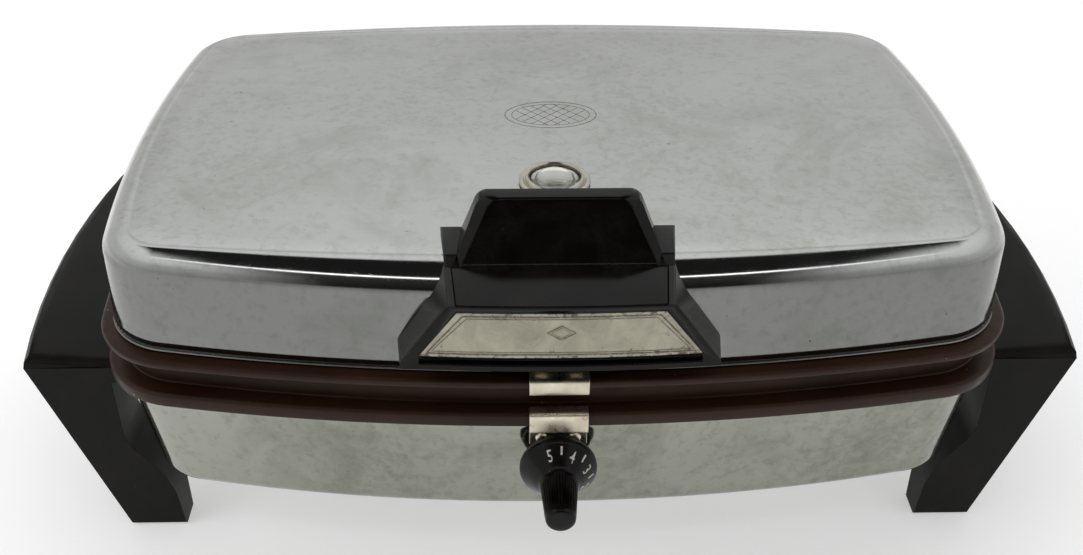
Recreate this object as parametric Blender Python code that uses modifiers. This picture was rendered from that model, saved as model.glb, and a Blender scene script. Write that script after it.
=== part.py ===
"""Electric waffle maker: a clam-shell baker with removable grids, a lifting hinge and a heat control.

Run with: blender --background --python part.py

Metres, +Z up. The front, with the control knob, faces -Y. The origin is on the table, under the
centre of the whole object. Every piece hangs on one empty, whose own origin is under the centre of
the two shells; the sizes below are measured from there, with the lid closed.
"""
import math

import bmesh
import bpy
from mathutils import Matrix, Vector

MM = 0.001
OBJECT_NAME = "waffle_maker"

# Fits
GAP = 0.3 * MM               # between pieces that touch
RUNNING_GAP = 0.10 * MM      # between a pin and the hole that it turns in

# Plan outline of the shells: a rectangle whose four sides bow outwards
HALF_WIDTH = 167 * MM
HALF_DEPTH = 110.8 * MM
FRONT_BOW = 19.4 * MM
SIDE_BOW = 10.5 * MM
CORNER_RADIUS = 28.5 * MM
SHELL_THICKNESS = 1.0 * MM

# Walls of the shells
PAN_WALL_INSET = 5.75 * MM   # draft of the pan, from its top to the bend at its bottom
PAN_EDGE_RADIUS = 7 * MM
PAN_FLANGE_INSET = 42 * MM
LID_WALL_INSET = 1.7 * MM    # draft of the lid
SIDE_SHOULDER = 9 * MM
FRONT_SHOULDER = 13 * MM

# Heights above the table
PARTING_Z = 103.35 * MM      # where the two grids meet
PAN_BOTTOM_Z = 39.5 * MM
PAN_TOP_Z = 89.7 * MM
LID_BOTTOM_Z = 110.95 * MM
SHOULDER_Z = 141 * MM
LID_TOP_Z = 150.5 * MM
ELEMENT_DROP = 25.35 * MM    # of a heating element behind the parting plane
LOWER_REFLECTOR_Z = 62 * MM
UPPER_REFLECTOR_Z = 138 * MM

# Grids
RIM_OVERHANG = 4.3 * MM
FIELD_HALF = Vector((146 * MM, 80 * MM))
STUDS_IN_QUARTER = (7, 4)
STUD_BASE = 13.5 * MM
STUD_TOP = 10 * MM
STUD_DEPTH = 2.6 * MM        # of a stud's top below the parting plane
FLOOR_DEPTH = 13 * MM
PLATE_BACK_DEPTH = 16.5 * MM
DIVIDER_WIDTH = 3 * MM
DIVIDER_DEPTH = 1.0 * MM
LOWER_RIM = (13.35 * MM, 7.6 * MM)       # depths of the rim's back and face
UPPER_RIM = (7.3 * MM, 3.9 * MM)

# Heating
REFLECTOR_INSET = (20 * MM, 46 * MM)
REFLECTOR_LIP = 14 * MM
REFLECTOR_THICKNESS = 0.6 * MM
ELEMENT_RADIUS = 3.2 * MM
ELEMENT_HALF_LENGTH = 116 * MM
ELEMENT_ROWS_Y = (36 * MM, 12 * MM, -12 * MM, -36 * MM)
ELEMENT_END_X = -122 * MM
ELEMENT_TAIL = 6 * MM        # how far each end of an element turns towards its terminal
TERMINAL_RADIUS = 5 * MM

# Side handles, which are also the legs
HANDLE_HALF_LENGTH = 72 * MM
HANDLE_END_X = 202.3 * MM
HANDLE_BOW = 7 * MM
HANDLE_LEAN = 0.3135         # how far the outer face runs in for each unit of drop
HANDLE_INNER_X = 140 * MM
HANDLE_EDGE_Z = 84.2 * MM    # where the rounded top edge begins
HANDLE_EDGE_RADIUS = 5 * MM
HANDLE_TOP_FALL = 0.10       # how far the top drops towards the shell for each unit of width
HANDLE_SCREW_Y = 40 * MM
HANDLE_SCREW_Z = 82.3 * MM

# Lid handle
LIP_Z = 169.6 * MM
LEDGE_Z = 149.6 * MM
LID_HANDLE_BACK_Y = -81 * MM
LID_HANDLE_FRONT_Y = -125.5 * MM
LID_HANDLE_BOW = 3.2 * MM
LID_HANDLE_BOTTOM_Z = 123.4 * MM
LID_HANDLE_FLANGE_Z = 152.4 * MM
FACE_PLATE = ((33.6 * MM, 146.8 * MM), (46.6 * MM, 129 * MM))    # half-width and height, top and bottom
LID_SCREW_X = 20 * MM
LID_SCREW_Y = -88 * MM

# Signal lamp
LENS_Y = -48 * MM
BEZEL_RADIUS = 13.3 * MM
LENS_RADIUS = 9.2 * MM

# Heat control
KNOB_Z = 72 * MM
KNOB_BACK_Y = -113.2 * MM
KNOB_LENGTH = 30.2 * MM
SKIRT_RADIUS = 13.9 * MM
SHAFT_RADIUS = 3 * MM
BUSH_RADIUS = 5 * MM

# Hinge
HINGE_Y = 119.5 * MM
HINGE_Z = 85 * MM
HINGE_PIN_RADIUS = 2.5 * MM
HINGE_LIFT = 8 * MM          # how far the pin rises in its slots as the batter swells
BRACKET_X = 79 * MM
ARM_X = 73 * MM
REAR_Y = 127 * MM            # the rearmost face, on the base's brackets
BRACKET_THICKNESS = 2 * MM
FLANGE_THICKNESS = 1.6 * MM
HINGE_RIVET_X = 66 * MM
BASE_RIVET_Z = (79 * MM, 86.2 * MM)
ARM_RIVET_Z = (122 * MM, 134 * MM)

# Grid clips
CLIP_WIDTH = 20.6 * MM
CLIP_THICKNESS = 0.8 * MM
CLIP_RIVET_X = 6 * MM
LOWER_CLIP_Y = -110.9 * MM   # where each clip lies against its shell
UPPER_CLIP_Y = -108.2 * MM
LOWER_CLIP_RIVET_Z = 82 * MM
UPPER_CLIP_RIVET_Z = 116.5 * MM
CLIP_NOTCH = 2.7 * MM        # height of the notch in the lid's edge where its clip comes out

# Appliance inlet, low at the rear right
INLET_X = 118 * MM
INLET_Z = 70 * MM

BODY_Y = (-KNOB_BACK_Y + KNOB_LENGTH - REAR_Y) / 2   # puts the whole object's middle at the origin

# Screws that hold the bottom cover
COVER_SCREWS = [(side * 105 * MM, front * 64 * MM) for side in (-1, 1) for front in (-1, 1)]

# Facets of round pieces
FINE = 24
COARSE = 8
MEDIUM = 16


# ---------------------------------------------------------------- scene and materials

def clear_scene():
    for obj in list(bpy.data.objects):
        bpy.data.objects.remove(obj, do_unlink=True)


def make_collection(name):
    collection = bpy.data.collections.new(name)
    bpy.context.scene.collection.children.link(collection)
    return collection


def make_material(name, color, metallic, roughness):
    material = bpy.data.materials.new(name)
    material.use_nodes = True
    shader = material.node_tree.nodes["Principled BSDF"]
    shader.inputs["Base Color"].default_value = (*color, 1)
    shader.inputs["Metallic"].default_value = metallic
    shader.inputs["Roughness"].default_value = roughness
    material.diffuse_color = (*color, 1)
    return material


clear_scene()
PARTS = make_collection(OBJECT_NAME)
CUTTERS = make_collection("cutters")

CHROME = make_material("chrome", (0.60, 0.61, 0.59), 1.0, 0.10)
NICKEL = make_material("nickel", (0.55, 0.52, 0.43), 1.0, 0.28)
STEEL = make_material("zinc_steel", (0.45, 0.45, 0.44), 1.0, 0.40)
BRASS = make_material("brass", (0.60, 0.46, 0.20), 1.0, 0.35)
REFLECTOR = make_material("bright_tinplate", (0.65, 0.65, 0.63), 1.0, 0.25)
BAKELITE = make_material("black_bakelite", (0.012, 0.011, 0.011), 0.0, 0.18)
COATING = make_material("brown_coating", (0.040, 0.018, 0.010), 0.0, 0.45)
SHEATH = make_material("heater_sheath", (0.09, 0.08, 0.075), 0.8, 0.50)
CERAMIC = make_material("ceramic", (0.72, 0.68, 0.60), 0.0, 0.50)
GLASS = make_material("clear_glass", (0.75, 0.75, 0.68), 0.0, 0.05)
AMBER_GLASS = make_material("amber_glass", (0.60, 0.22, 0.03), 0.0, 0.08)

FRAME = bpy.data.objects.new("shell_centre", None)
PARTS.objects.link(FRAME)
FRAME.location = (0, BODY_Y, 0)


# ---------------------------------------------------------------- making objects

def add_part(obj, name, material):
    """Names an object, gives it its material and hangs it on the frame."""
    obj.name = name
    obj.data.name = name
    for collection in list(obj.users_collection):
        collection.objects.unlink(obj)
    PARTS.objects.link(obj)
    obj.data.materials.clear()
    obj.data.materials.append(material)
    obj.parent = FRAME
    return obj


def add_cutter(obj, name):
    """Puts an object among the cutters, which the finished model leaves out."""
    obj.name = name
    for collection in list(obj.users_collection):
        collection.objects.unlink(obj)
    CUTTERS.objects.link(obj)
    obj.parent = FRAME
    obj.hide_render = True
    obj.display_type = "WIRE"
    return obj


def mesh_object(bm):
    """Makes an object of a bmesh, with its faces pointing out."""
    bmesh.ops.recalc_face_normals(bm, faces=bm.faces)
    mesh = bpy.data.meshes.new("mesh")
    bm.to_mesh(mesh)
    bm.free()
    obj = bpy.data.objects.new("mesh", mesh)
    bpy.context.scene.collection.objects.link(obj)
    return obj


def smooth(obj, degrees=35):
    obj.data.shade_smooth()
    obj.data.set_sharp_from_angle(angle=math.radians(degrees))


def box(low, high):
    """A box between two corners."""
    bm = bmesh.new()
    bmesh.ops.create_cube(bm, size=1)
    size = Vector(high) - Vector(low)
    middle = (Vector(high) + Vector(low)) / 2
    bmesh.ops.transform(bm, matrix=Matrix.Translation(middle) @ Matrix.Diagonal((*size, 1)), verts=bm.verts)
    return mesh_object(bm)


def cylinder(radius, start, end, sides=COARSE):
    """A straight cylinder between two points."""
    start = Vector(start)
    along = Vector(end) - start
    bm = bmesh.new()
    bmesh.ops.create_cone(bm, cap_ends=True, segments=sides, radius1=radius, radius2=radius,
                          depth=along.length)
    turn = along.to_track_quat("Z", "Y").to_matrix().to_4x4()
    bmesh.ops.transform(bm, matrix=Matrix.Translation(start + along / 2) @ turn, verts=bm.verts)
    return mesh_object(bm)


def turned(profile, place, axis, sides=COARSE):
    """A solid turned from (radius, height) points, top to bottom, with its heights along axis.

    A profile that ends where it starts makes a ring.
    """
    mesh = bpy.data.meshes.new("mesh")
    ring_shaped = profile[0] == profile[-1]
    points = [(radius, 0, height) for radius, height in (profile[:-1] if ring_shaped else profile)]
    edges = [(i, i + 1) for i in range(len(points) - 1)]
    if ring_shaped:
        edges.append((len(points) - 1, 0))
    mesh.from_pydata(points, edges, [])
    obj = bpy.data.objects.new("mesh", mesh)
    bpy.context.scene.collection.objects.link(obj)
    screw = obj.modifiers.new("Turn", "SCREW")
    screw.steps = sides
    screw.render_steps = sides
    screw.use_merge_vertices = True
    screw.merge_threshold = 0.00002
    screw.use_smooth_shade = True
    obj.location = place
    obj.rotation_mode = "QUATERNION"
    obj.rotation_quaternion = Vector(axis).to_track_quat("Z", "Y")
    return obj


def plate(outlines, thickness):
    """A flat plate in the XY plane, half of its thickness above and half below, as a closed mesh.

    The first outline is its edge and the others are holes.
    """
    curve = bpy.data.curves.new("outline", "CURVE")
    curve.dimensions = "2D"
    curve.fill_mode = "BOTH"
    curve.extrude = thickness / 2
    for outline in outlines:
        spline = curve.splines.new("POLY")
        spline.points.add(len(outline) - 1)
        for point, (x, y) in zip(spline.points, outline):
            point.co = (x, y, 0, 1)
        spline.use_cyclic_u = True
    return curve_to_mesh(curve)


def curve_to_mesh(curve):
    """Turns a curve into a closed mesh object, with its caps welded on."""
    holder = bpy.data.objects.new("curve", curve)
    bpy.context.scene.collection.objects.link(holder)
    evaluated = holder.evaluated_get(bpy.context.evaluated_depsgraph_get())
    mesh = bpy.data.meshes.new_from_object(evaluated)
    bpy.data.objects.remove(holder)
    bm = bmesh.new()
    bm.from_mesh(mesh)
    bpy.data.meshes.remove(mesh)
    bmesh.ops.remove_doubles(bm, verts=bm.verts, dist=0.00002)
    return mesh_object(bm)


def upright(obj, turn, place):
    """Stands a flat plate up: turn maps its X, Y and Z, and place moves its origin."""
    matrix = Matrix.Translation(place) @ turn.to_4x4()
    obj.data.transform(matrix)
    return obj


# Columns are where a flat plate's own X, Y and Z go
ACROSS = Matrix(((0, 0, 1), (1, 0, 0), (0, 1, 0)))      # drawn in Y and Z, thickness along X
FACING = Matrix(((1, 0, 0), (0, 0, -1), (0, 1, 0)))     # drawn in X and Z, thickness along Y


def rod(points, radius):
    """A bent rod along points, as a closed mesh."""
    curve = bpy.data.curves.new("rod", "CURVE")
    curve.dimensions = "3D"
    curve.bevel_depth = radius
    curve.bevel_resolution = 2
    curve.use_fill_caps = True
    spline = curve.splines.new("POLY")
    spline.points.add(len(points) - 1)
    for point, place in zip(spline.points, points):
        point.co = (*place, 1)
    return curve_to_mesh(curve)


def skin(rings, close_start=False, close_end=False):
    """Lofts a surface through rings that have as many points each."""
    bm = bmesh.new()
    loops = [[bm.verts.new(point) for point in ring] for ring in rings]
    count = len(rings[0])
    for lower, upper in zip(loops, loops[1:]):
        for i in range(count):
            j = (i + 1) % count
            bm.faces.new((lower[i], lower[j], upper[j], upper[i]))
    if close_start:
        bm.faces.new(loops[0])
    if close_end:
        bm.faces.new(loops[-1])
    return mesh_object(bm)


def strip(path, width):
    """A bent strip of sheet metal: an open (y, z) path swept across X."""
    bm = bmesh.new()
    left = [bm.verts.new((-width / 2, y, z)) for y, z in path]
    right = [bm.verts.new((width / 2, y, z)) for y, z in path]
    for i in range(len(path) - 1):
        bm.faces.new((left[i], right[i], right[i + 1], left[i + 1]))
    mesh = bpy.data.meshes.new("mesh")
    bm.to_mesh(mesh)
    bm.free()
    obj = bpy.data.objects.new("mesh", mesh)
    bpy.context.scene.collection.objects.link(obj)
    return obj


def solidify(obj, thickness, offset):
    modifier = obj.modifiers.new("Sheet", "SOLIDIFY")
    modifier.thickness = thickness
    modifier.offset = offset
    modifier.use_even_offset = True


def bevel(obj, width, segments=2, degrees=40):
    modifier = obj.modifiers.new("Edges", "BEVEL")
    modifier.width = width
    modifier.segments = segments
    modifier.limit_method = "ANGLE"
    modifier.angle_limit = math.radians(degrees)


def combine(obj, other, operation, name):
    """Joins, cuts or crosses an object with another, which becomes a cutter."""
    add_cutter(other, name)
    obj.parent = FRAME
    modifier = obj.modifiers.new(name, "BOOLEAN")
    modifier.operation = operation
    modifier.solver = "EXACT"
    modifier.object = other


def bake(obj):
    """Applies an object's modifiers and gives back a plain mesh object."""
    bpy.context.view_layer.update()
    evaluated = obj.evaluated_get(bpy.context.evaluated_depsgraph_get())
    mesh = bpy.data.meshes.new_from_object(evaluated)
    mesh.transform(obj.matrix_basis)
    bpy.data.objects.remove(obj)
    plain = bpy.data.objects.new("mesh", mesh)
    bpy.context.scene.collection.objects.link(plain)
    return plain


# ---------------------------------------------------------------- plan outlines

def arc(centre, radius, start, end, steps):
    return [centre + radius * Vector((math.cos(a), math.sin(a)))
            for a in (start + (end - start) * i / steps for i in range(steps + 1))]


def bowed_outline(inset_x, inset_y=None, side_steps=2, corner_steps=3, front_steps=3):
    """The shells' plan outline, set in by the insets, anticlockwise from +X."""
    inset_y = inset_x if inset_y is None else inset_y
    half_x = HALF_WIDTH - inset_x
    half_y = HALF_DEPTH - inset_y
    corner = max(CORNER_RADIUS - (inset_x + inset_y) / 2, 4 * MM)
    long_radius = (half_x ** 2 + FRONT_BOW ** 2) / (2 * FRONT_BOW)
    short_radius = (half_y ** 2 + SIDE_BOW ** 2) / (2 * SIDE_BOW)
    long_centre = Vector((0, half_y - long_radius))
    short_centre = Vector((half_x - short_radius, 0))
    # the corner's centre lies where circles inside both arcs cross
    between = short_centre - long_centre
    near = long_radius - corner
    far = short_radius - corner
    along = (near ** 2 - far ** 2 + between.length_squared) / (2 * between.length)
    aside = math.sqrt(max(near ** 2 - along ** 2, 0))
    unit = between.normalized()
    foot = long_centre + along * unit
    corner_centre = max((foot + aside * Vector((-unit.y, unit.x)), foot - aside * Vector((-unit.y, unit.x))),
                        key=lambda point: point.x + point.y)
    side_end = math.atan2(*(corner_centre - short_centre).yx)
    front_start = math.atan2(*(corner_centre - long_centre).yx)
    quarter = arc(short_centre, short_radius, 0, side_end, side_steps)
    quarter += arc(corner_centre, corner, side_end, front_start, corner_steps)[1:]
    quarter += arc(long_centre, long_radius, front_start, math.pi / 2, front_steps)[1:]
    half = quarter + [Vector((-p.x, p.y)) for p in reversed(quarter[:-1])]
    return half + [Vector((p.x, -p.y)) for p in reversed(half[1:-1])]


def ring(z, inset_x, inset_y=None):
    return [(p.x, p.y, z) for p in bowed_outline(inset_x, inset_y)]


def wall_y(x, inset=0.0):
    """How far the rear wall stands from the middle at x; the front wall is its mirror image."""
    half_x = HALF_WIDTH - inset
    radius = (half_x ** 2 + FRONT_BOW ** 2) / (2 * FRONT_BOW)
    return HALF_DEPTH - inset - radius + math.sqrt(radius ** 2 - x ** 2)


def wall_x(y, inset=0.0):
    """How far a side wall stands from the middle at y."""
    half_y = HALF_DEPTH - inset
    radius = (half_y ** 2 + SIDE_BOW ** 2) / (2 * SIDE_BOW)
    return HALF_WIDTH - inset - radius + math.sqrt(radius ** 2 - y ** 2)


def pan_sections():
    sections = [(PAN_TOP_Z, 0.2 * MM, 0.2 * MM)]
    for degrees in (0, 30, 60, 90):
        angle = math.radians(degrees)
        inset = PAN_WALL_INSET + PAN_EDGE_RADIUS * (1 - math.cos(angle))
        sections.append((PAN_BOTTOM_Z + PAN_EDGE_RADIUS * (1 - math.sin(angle)), inset, inset))
    return sections


def lid_sections():
    sections = [(LID_BOTTOM_Z, 0, 0)]
    for degrees in (0, 22.5, 45, 67.5, 90):
        angle = math.radians(degrees)
        run = 1 - math.cos(angle)
        sections.append((SHOULDER_Z + (LID_TOP_Z - SHOULDER_Z) * math.sin(angle),
                         LID_WALL_INSET + SIDE_SHOULDER * run,
                         LID_WALL_INSET + FRONT_SHOULDER * run))
    return sections


def pan_inset(z):
    """The pan's inset on its straight wall at a height."""
    low = PAN_BOTTOM_Z + PAN_EDGE_RADIUS
    return PAN_WALL_INSET + (0.2 * MM - PAN_WALL_INSET) * (z - low) / (PAN_TOP_Z - low)


def lid_inset(z):
    """The lid's inset on its straight wall at a height."""
    return LID_WALL_INSET * (z - LID_BOTTOM_Z) / (SHOULDER_Z - LID_BOTTOM_Z)


def clearance_solid(sections, grow):
    """A solid a little larger than a shell, for shaping what lies against it."""
    rings = [ring(z, inset_x - grow, inset_y - grow) for z, inset_x, inset_y in sections]
    rise = grow if sections[-1][0] > sections[0][0] else -grow
    rings.append([(x, y, z + rise) for x, y, z in rings[-1]])
    return skin(rings, close_start=True, close_end=True)


# ---------------------------------------------------------------- fasteners

def screw(name, place, axis, head_radius, head_height, shank_radius, shank_length, material=STEEL):
    """A round-headed screw; place is the seat of its head, and axis points out of the head."""
    profile = [(0, head_height), (head_radius, 0.4 * head_height), (head_radius, 0), (shank_radius, 0),
               (shank_radius, -shank_length), (0, -shank_length)]
    return add_part(turned(profile, place, axis), name, material)


def rivet(name, place, axis, grip, material=NICKEL):
    """A tubular rivet through a stack of sheets; place is the seat of its outer head."""
    head = 2.2 * MM
    shank = 1.3 * MM
    profile = [(0, 1.2 * MM), (head, 0), (shank, 0), (shank, -grip), (0.8 * head, -grip),
               (0, -grip - 0.7 * MM)]
    return add_part(turned(profile, place, axis), name, material)


def drill(obj, radius, start, end, name):
    combine(obj, cylinder(radius, start, end), "DIFFERENCE", name)


# ---------------------------------------------------------------- shells

def lower_shell():
    """The chromed pan, with a flange turned in under its bottom edge."""
    rings = [ring(*section) for section in pan_sections()]
    rings.append(ring(PAN_BOTTOM_Z, PAN_FLANGE_INSET))
    pan = skin(rings)
    solidify(pan, SHELL_THICKNESS, -1)
    add_part(pan, "lower_shell", CHROME)
    smooth(pan)
    for i, (x, y) in enumerate(COVER_SCREWS):
        drill(pan, 2.3 * MM, (x, y, PAN_BOTTOM_Z - 2 * MM), (x, y, PAN_BOTTOM_Z + 4 * MM), f"cover_hole_{i}")
    for side in (-1, 1):
        for front in (-1, 1):
            y = front * HANDLE_SCREW_Y
            drill(pan, 2.4 * MM, (side * 150 * MM, y, HANDLE_SCREW_Z), (side * 175 * MM, y, HANDLE_SCREW_Z),
                  f"handle_hole_{side}_{front}")
        for z in BASE_RIVET_Z:
            drill(pan, 1.6 * MM, (side * HINGE_RIVET_X, 95 * MM, z), (side * HINGE_RIVET_X, 125 * MM, z),
                  f"bracket_hole_{side}_{z * 1000:.0f}")
        x = side * CLIP_RIVET_X
        drill(pan, 1.6 * MM, (x, -100 * MM, LOWER_CLIP_RIVET_Z), (x, -120 * MM, LOWER_CLIP_RIVET_Z),
              f"clip_hole_{side}")
    drill(pan, BUSH_RADIUS + 2 * GAP, (0, -95 * MM, KNOB_Z), (0, -120 * MM, KNOB_Z), "shaft_hole")
    window = box((INLET_X - 11 * MM, 85 * MM, INLET_Z - 7 * MM),
                 (INLET_X + 11 * MM, 115 * MM, INLET_Z + 7 * MM))
    combine(pan, window, "DIFFERENCE", "inlet_window")


def bottom_cover():
    """A flat steel cover under the pan's flange, with cooling slots."""
    slot_half = Vector((14 * MM, 2 * MM))
    slots = []
    for x in (-75 * MM, -25 * MM, 25 * MM, 75 * MM):
        for y in (-30 * MM, 0, 30 * MM):
            slots.append([(x + i * slot_half.x, y + j * slot_half.y)
                          for i, j in ((-1, -1), (1, -1), (1, 1), (-1, 1))])
    holes = [[(p.x + x, p.y + y) for p in arc(Vector((0, 0)), 2.3 * MM, 0, math.tau, 8)[:-1]]
             for x, y in COVER_SCREWS]
    outline = [(p.x, p.y) for p in bowed_outline(26 * MM)]
    thickness = 1.2 * MM
    cover = plate([outline] + slots + holes, thickness)
    cover.location = (0, 0, PAN_BOTTOM_Z - GAP - thickness / 2)
    add_part(cover, "bottom_cover", STEEL)
    seat = PAN_BOTTOM_Z - GAP - thickness - GAP
    for i, (x, y) in enumerate(COVER_SCREWS):
        screw(f"cover_screw_{i + 1}", (x, y, seat), (0, 0, -1), 4 * MM, 2.2 * MM, 1.9 * MM, 6 * MM)


def upper_shell():
    """The chromed lid shell, open underneath."""
    rings = [ring(*section) for section in lid_sections()]
    lid = skin(rings, close_end=True)
    solidify(lid, SHELL_THICKNESS, -1)
    add_part(lid, "upper_shell", CHROME)
    smooth(lid)
    combine(lid, cylinder(11 * MM, (0, LENS_Y, 140 * MM), (0, LENS_Y, 160 * MM), FINE // 2), "DIFFERENCE",
            "lens_hole")
    for side in (-1, 1):
        x = side * LID_SCREW_X
        drill(lid, 2.4 * MM, (x, LID_SCREW_Y, 140 * MM), (x, LID_SCREW_Y, 160 * MM), f"lid_screw_hole_{side}")
        for z in ARM_RIVET_Z:
            drill(lid, 1.6 * MM, (side * HINGE_RIVET_X, 95 * MM, z), (side * HINGE_RIVET_X, 125 * MM, z),
                  f"arm_hole_{side}_{z * 1000:.0f}")
        x = side * CLIP_RIVET_X
        drill(lid, 1.6 * MM, (x, -100 * MM, UPPER_CLIP_RIVET_Z), (x, -120 * MM, UPPER_CLIP_RIVET_Z),
              f"upper_clip_hole_{side}")
    half = CLIP_WIDTH / 2 + 2 * GAP
    notch = box((-half, -120 * MM, LID_BOTTOM_Z - MM), (half, -105 * MM, LID_BOTTOM_Z + CLIP_NOTCH))
    combine(lid, notch, "DIFFERENCE", "clip_notch")


# ---------------------------------------------------------------- grids

def add_stud(bm, x, y):
    """A square pyramid stump whose foot is sunk 1 mm into the floor of the grid."""
    foot = FLOOR_DEPTH + MM
    place = Matrix.Translation((x, y, -(foot + STUD_DEPTH) / 2)) @ Matrix.Rotation(math.pi / 4, 4, "Z")
    bmesh.ops.create_cone(bm, cap_ends=True, segments=4, radius1=STUD_BASE / math.sqrt(2),
                          radius2=STUD_TOP / math.sqrt(2), depth=foot - STUD_DEPTH, matrix=place)


def waffle_field(name):
    """The studs of four waffles and the cross that divides them."""
    columns, rows = STUDS_IN_QUARTER
    half = DIVIDER_WIDTH / 2
    arm_x, arm_y = FIELD_HALF
    low, high = -FLOOR_DEPTH - MM, -DIVIDER_DEPTH
    divider = box((-arm_x, -half, low), (arm_x, half, high))
    combine(divider, box((-half, -arm_y, low), (half, arm_y, high)), "UNION", f"{name}_divider")
    divider = bake(divider)
    bm = bmesh.new()
    bm.from_mesh(divider.data)
    bpy.data.objects.remove(divider)
    pitch_x = (arm_x - half) / columns
    pitch_y = (arm_y - half) / rows
    for side in (-1, 1):
        for front in (-1, 1):
            for i in range(columns):
                for j in range(rows):
                    add_stud(bm, side * (half + (i + 0.5) * pitch_x), front * (half + (j + 0.5) * pitch_y))
    return mesh_object(bm)


def grid(name, rim, facing):
    """A cast grid whose rim overhangs the shells; facing is 1 for up and -1 for down."""
    rim_back, rim_face = rim
    steps = [(8 * MM, PLATE_BACK_DEPTH), (5 * MM, 14 * MM), (2.5 * MM, rim_back), (-RIM_OVERHANG, rim_back),
             (-RIM_OVERHANG, rim_face), (2 * MM, rim_face), (3 * MM, GAP), (6.5 * MM, GAP),
             (9 * MM, FLOOR_DEPTH)]
    casting = skin([ring(-depth, inset) for inset, depth in steps], close_start=True, close_end=True)
    combine(casting, waffle_field(name), "UNION", f"{name}_studs")
    casting = bake(casting)
    if facing < 0:
        casting.data.transform(Matrix.Diagonal((1, 1, -1, 1)))
        casting.data.flip_normals()
    casting.location = (0, 0, PARTING_Z)
    return add_part(casting, name, COATING)


# ---------------------------------------------------------------- heating

def element_path(z, away):
    """Four runs joined by half turns; both ends turn towards the reflector, which is away."""
    tail_z = z + away * ELEMENT_TAIL
    points = [(ELEMENT_END_X, ELEMENT_ROWS_Y[0], tail_z), (ELEMENT_END_X, ELEMENT_ROWS_Y[0], z)]
    radius = (ELEMENT_ROWS_Y[0] - ELEMENT_ROWS_Y[1]) / 2
    for i in range(3):
        side = 1 if i % 2 == 0 else -1
        middle = Vector((side * ELEMENT_HALF_LENGTH - side * radius, ELEMENT_ROWS_Y[i] - radius))
        turn = arc(middle, radius, math.pi / 2, math.pi / 2 - side * math.pi, 6)
        points += [(p.x, p.y, z) for p in turn]
    points += [(ELEMENT_END_X, ELEMENT_ROWS_Y[3], z), (ELEMENT_END_X, ELEMENT_ROWS_Y[3], tail_z)]
    return points


def heating(half, away, reflector_z):
    """Reflector, heating element and its two terminals; away is -1 in the base and 1 in the lid."""
    element_z = PARTING_Z + away * ELEMENT_DROP
    inset_x, inset_y = REFLECTOR_INSET
    edge = ring(reflector_z - away * REFLECTOR_LIP, inset_x - 4 * MM, inset_y - 4 * MM)
    tray = skin([edge, ring(reflector_z, inset_x, inset_y)], close_end=True)
    solidify(tray, REFLECTOR_THICKNESS, 0)
    add_part(tray, f"{half}_reflector", REFLECTOR)
    add_part(rod(element_path(element_z, away), ELEMENT_RADIUS), f"{half}_element", SHEATH)
    end_z = element_z + away * (ELEMENT_TAIL + GAP)
    seat_z = reflector_z - away * (REFLECTOR_THICKNESS / 2 + GAP)
    for label, y in (("rear", ELEMENT_ROWS_Y[0]), ("front", ELEMENT_ROWS_Y[3])):
        low, high = sorted((end_z, seat_z))
        bush = cylinder(TERMINAL_RADIUS, (ELEMENT_END_X, y, low), (ELEMENT_END_X, y, high))
        add_part(bush, f"{half}_terminal_{label}", CERAMIC)


# ---------------------------------------------------------------- side handles

def handle_ring(z, inset, side):
    """One level of a side handle: straight ends, bowed outer face, inner edge inside the shell."""
    lean = HANDLE_LEAN * max(HANDLE_EDGE_Z - z, 0)
    end_y = HANDLE_HALF_LENGTH - inset
    points = [(HANDLE_INNER_X, -end_y)]
    for i in range(9):
        y = end_y * (i / 4 - 1)
        bow = HANDLE_BOW * (1 - (y / HANDLE_HALF_LENGTH) ** 2)
        points.append((HANDLE_END_X - inset - lean + bow, y))
    points.append((HANDLE_INNER_X, end_y))
    fall = HANDLE_TOP_FALL if z > HANDLE_EDGE_Z else 0
    return [(side * x, y, z - fall * max(HANDLE_END_X - x, 0)) for x, y in points]


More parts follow.
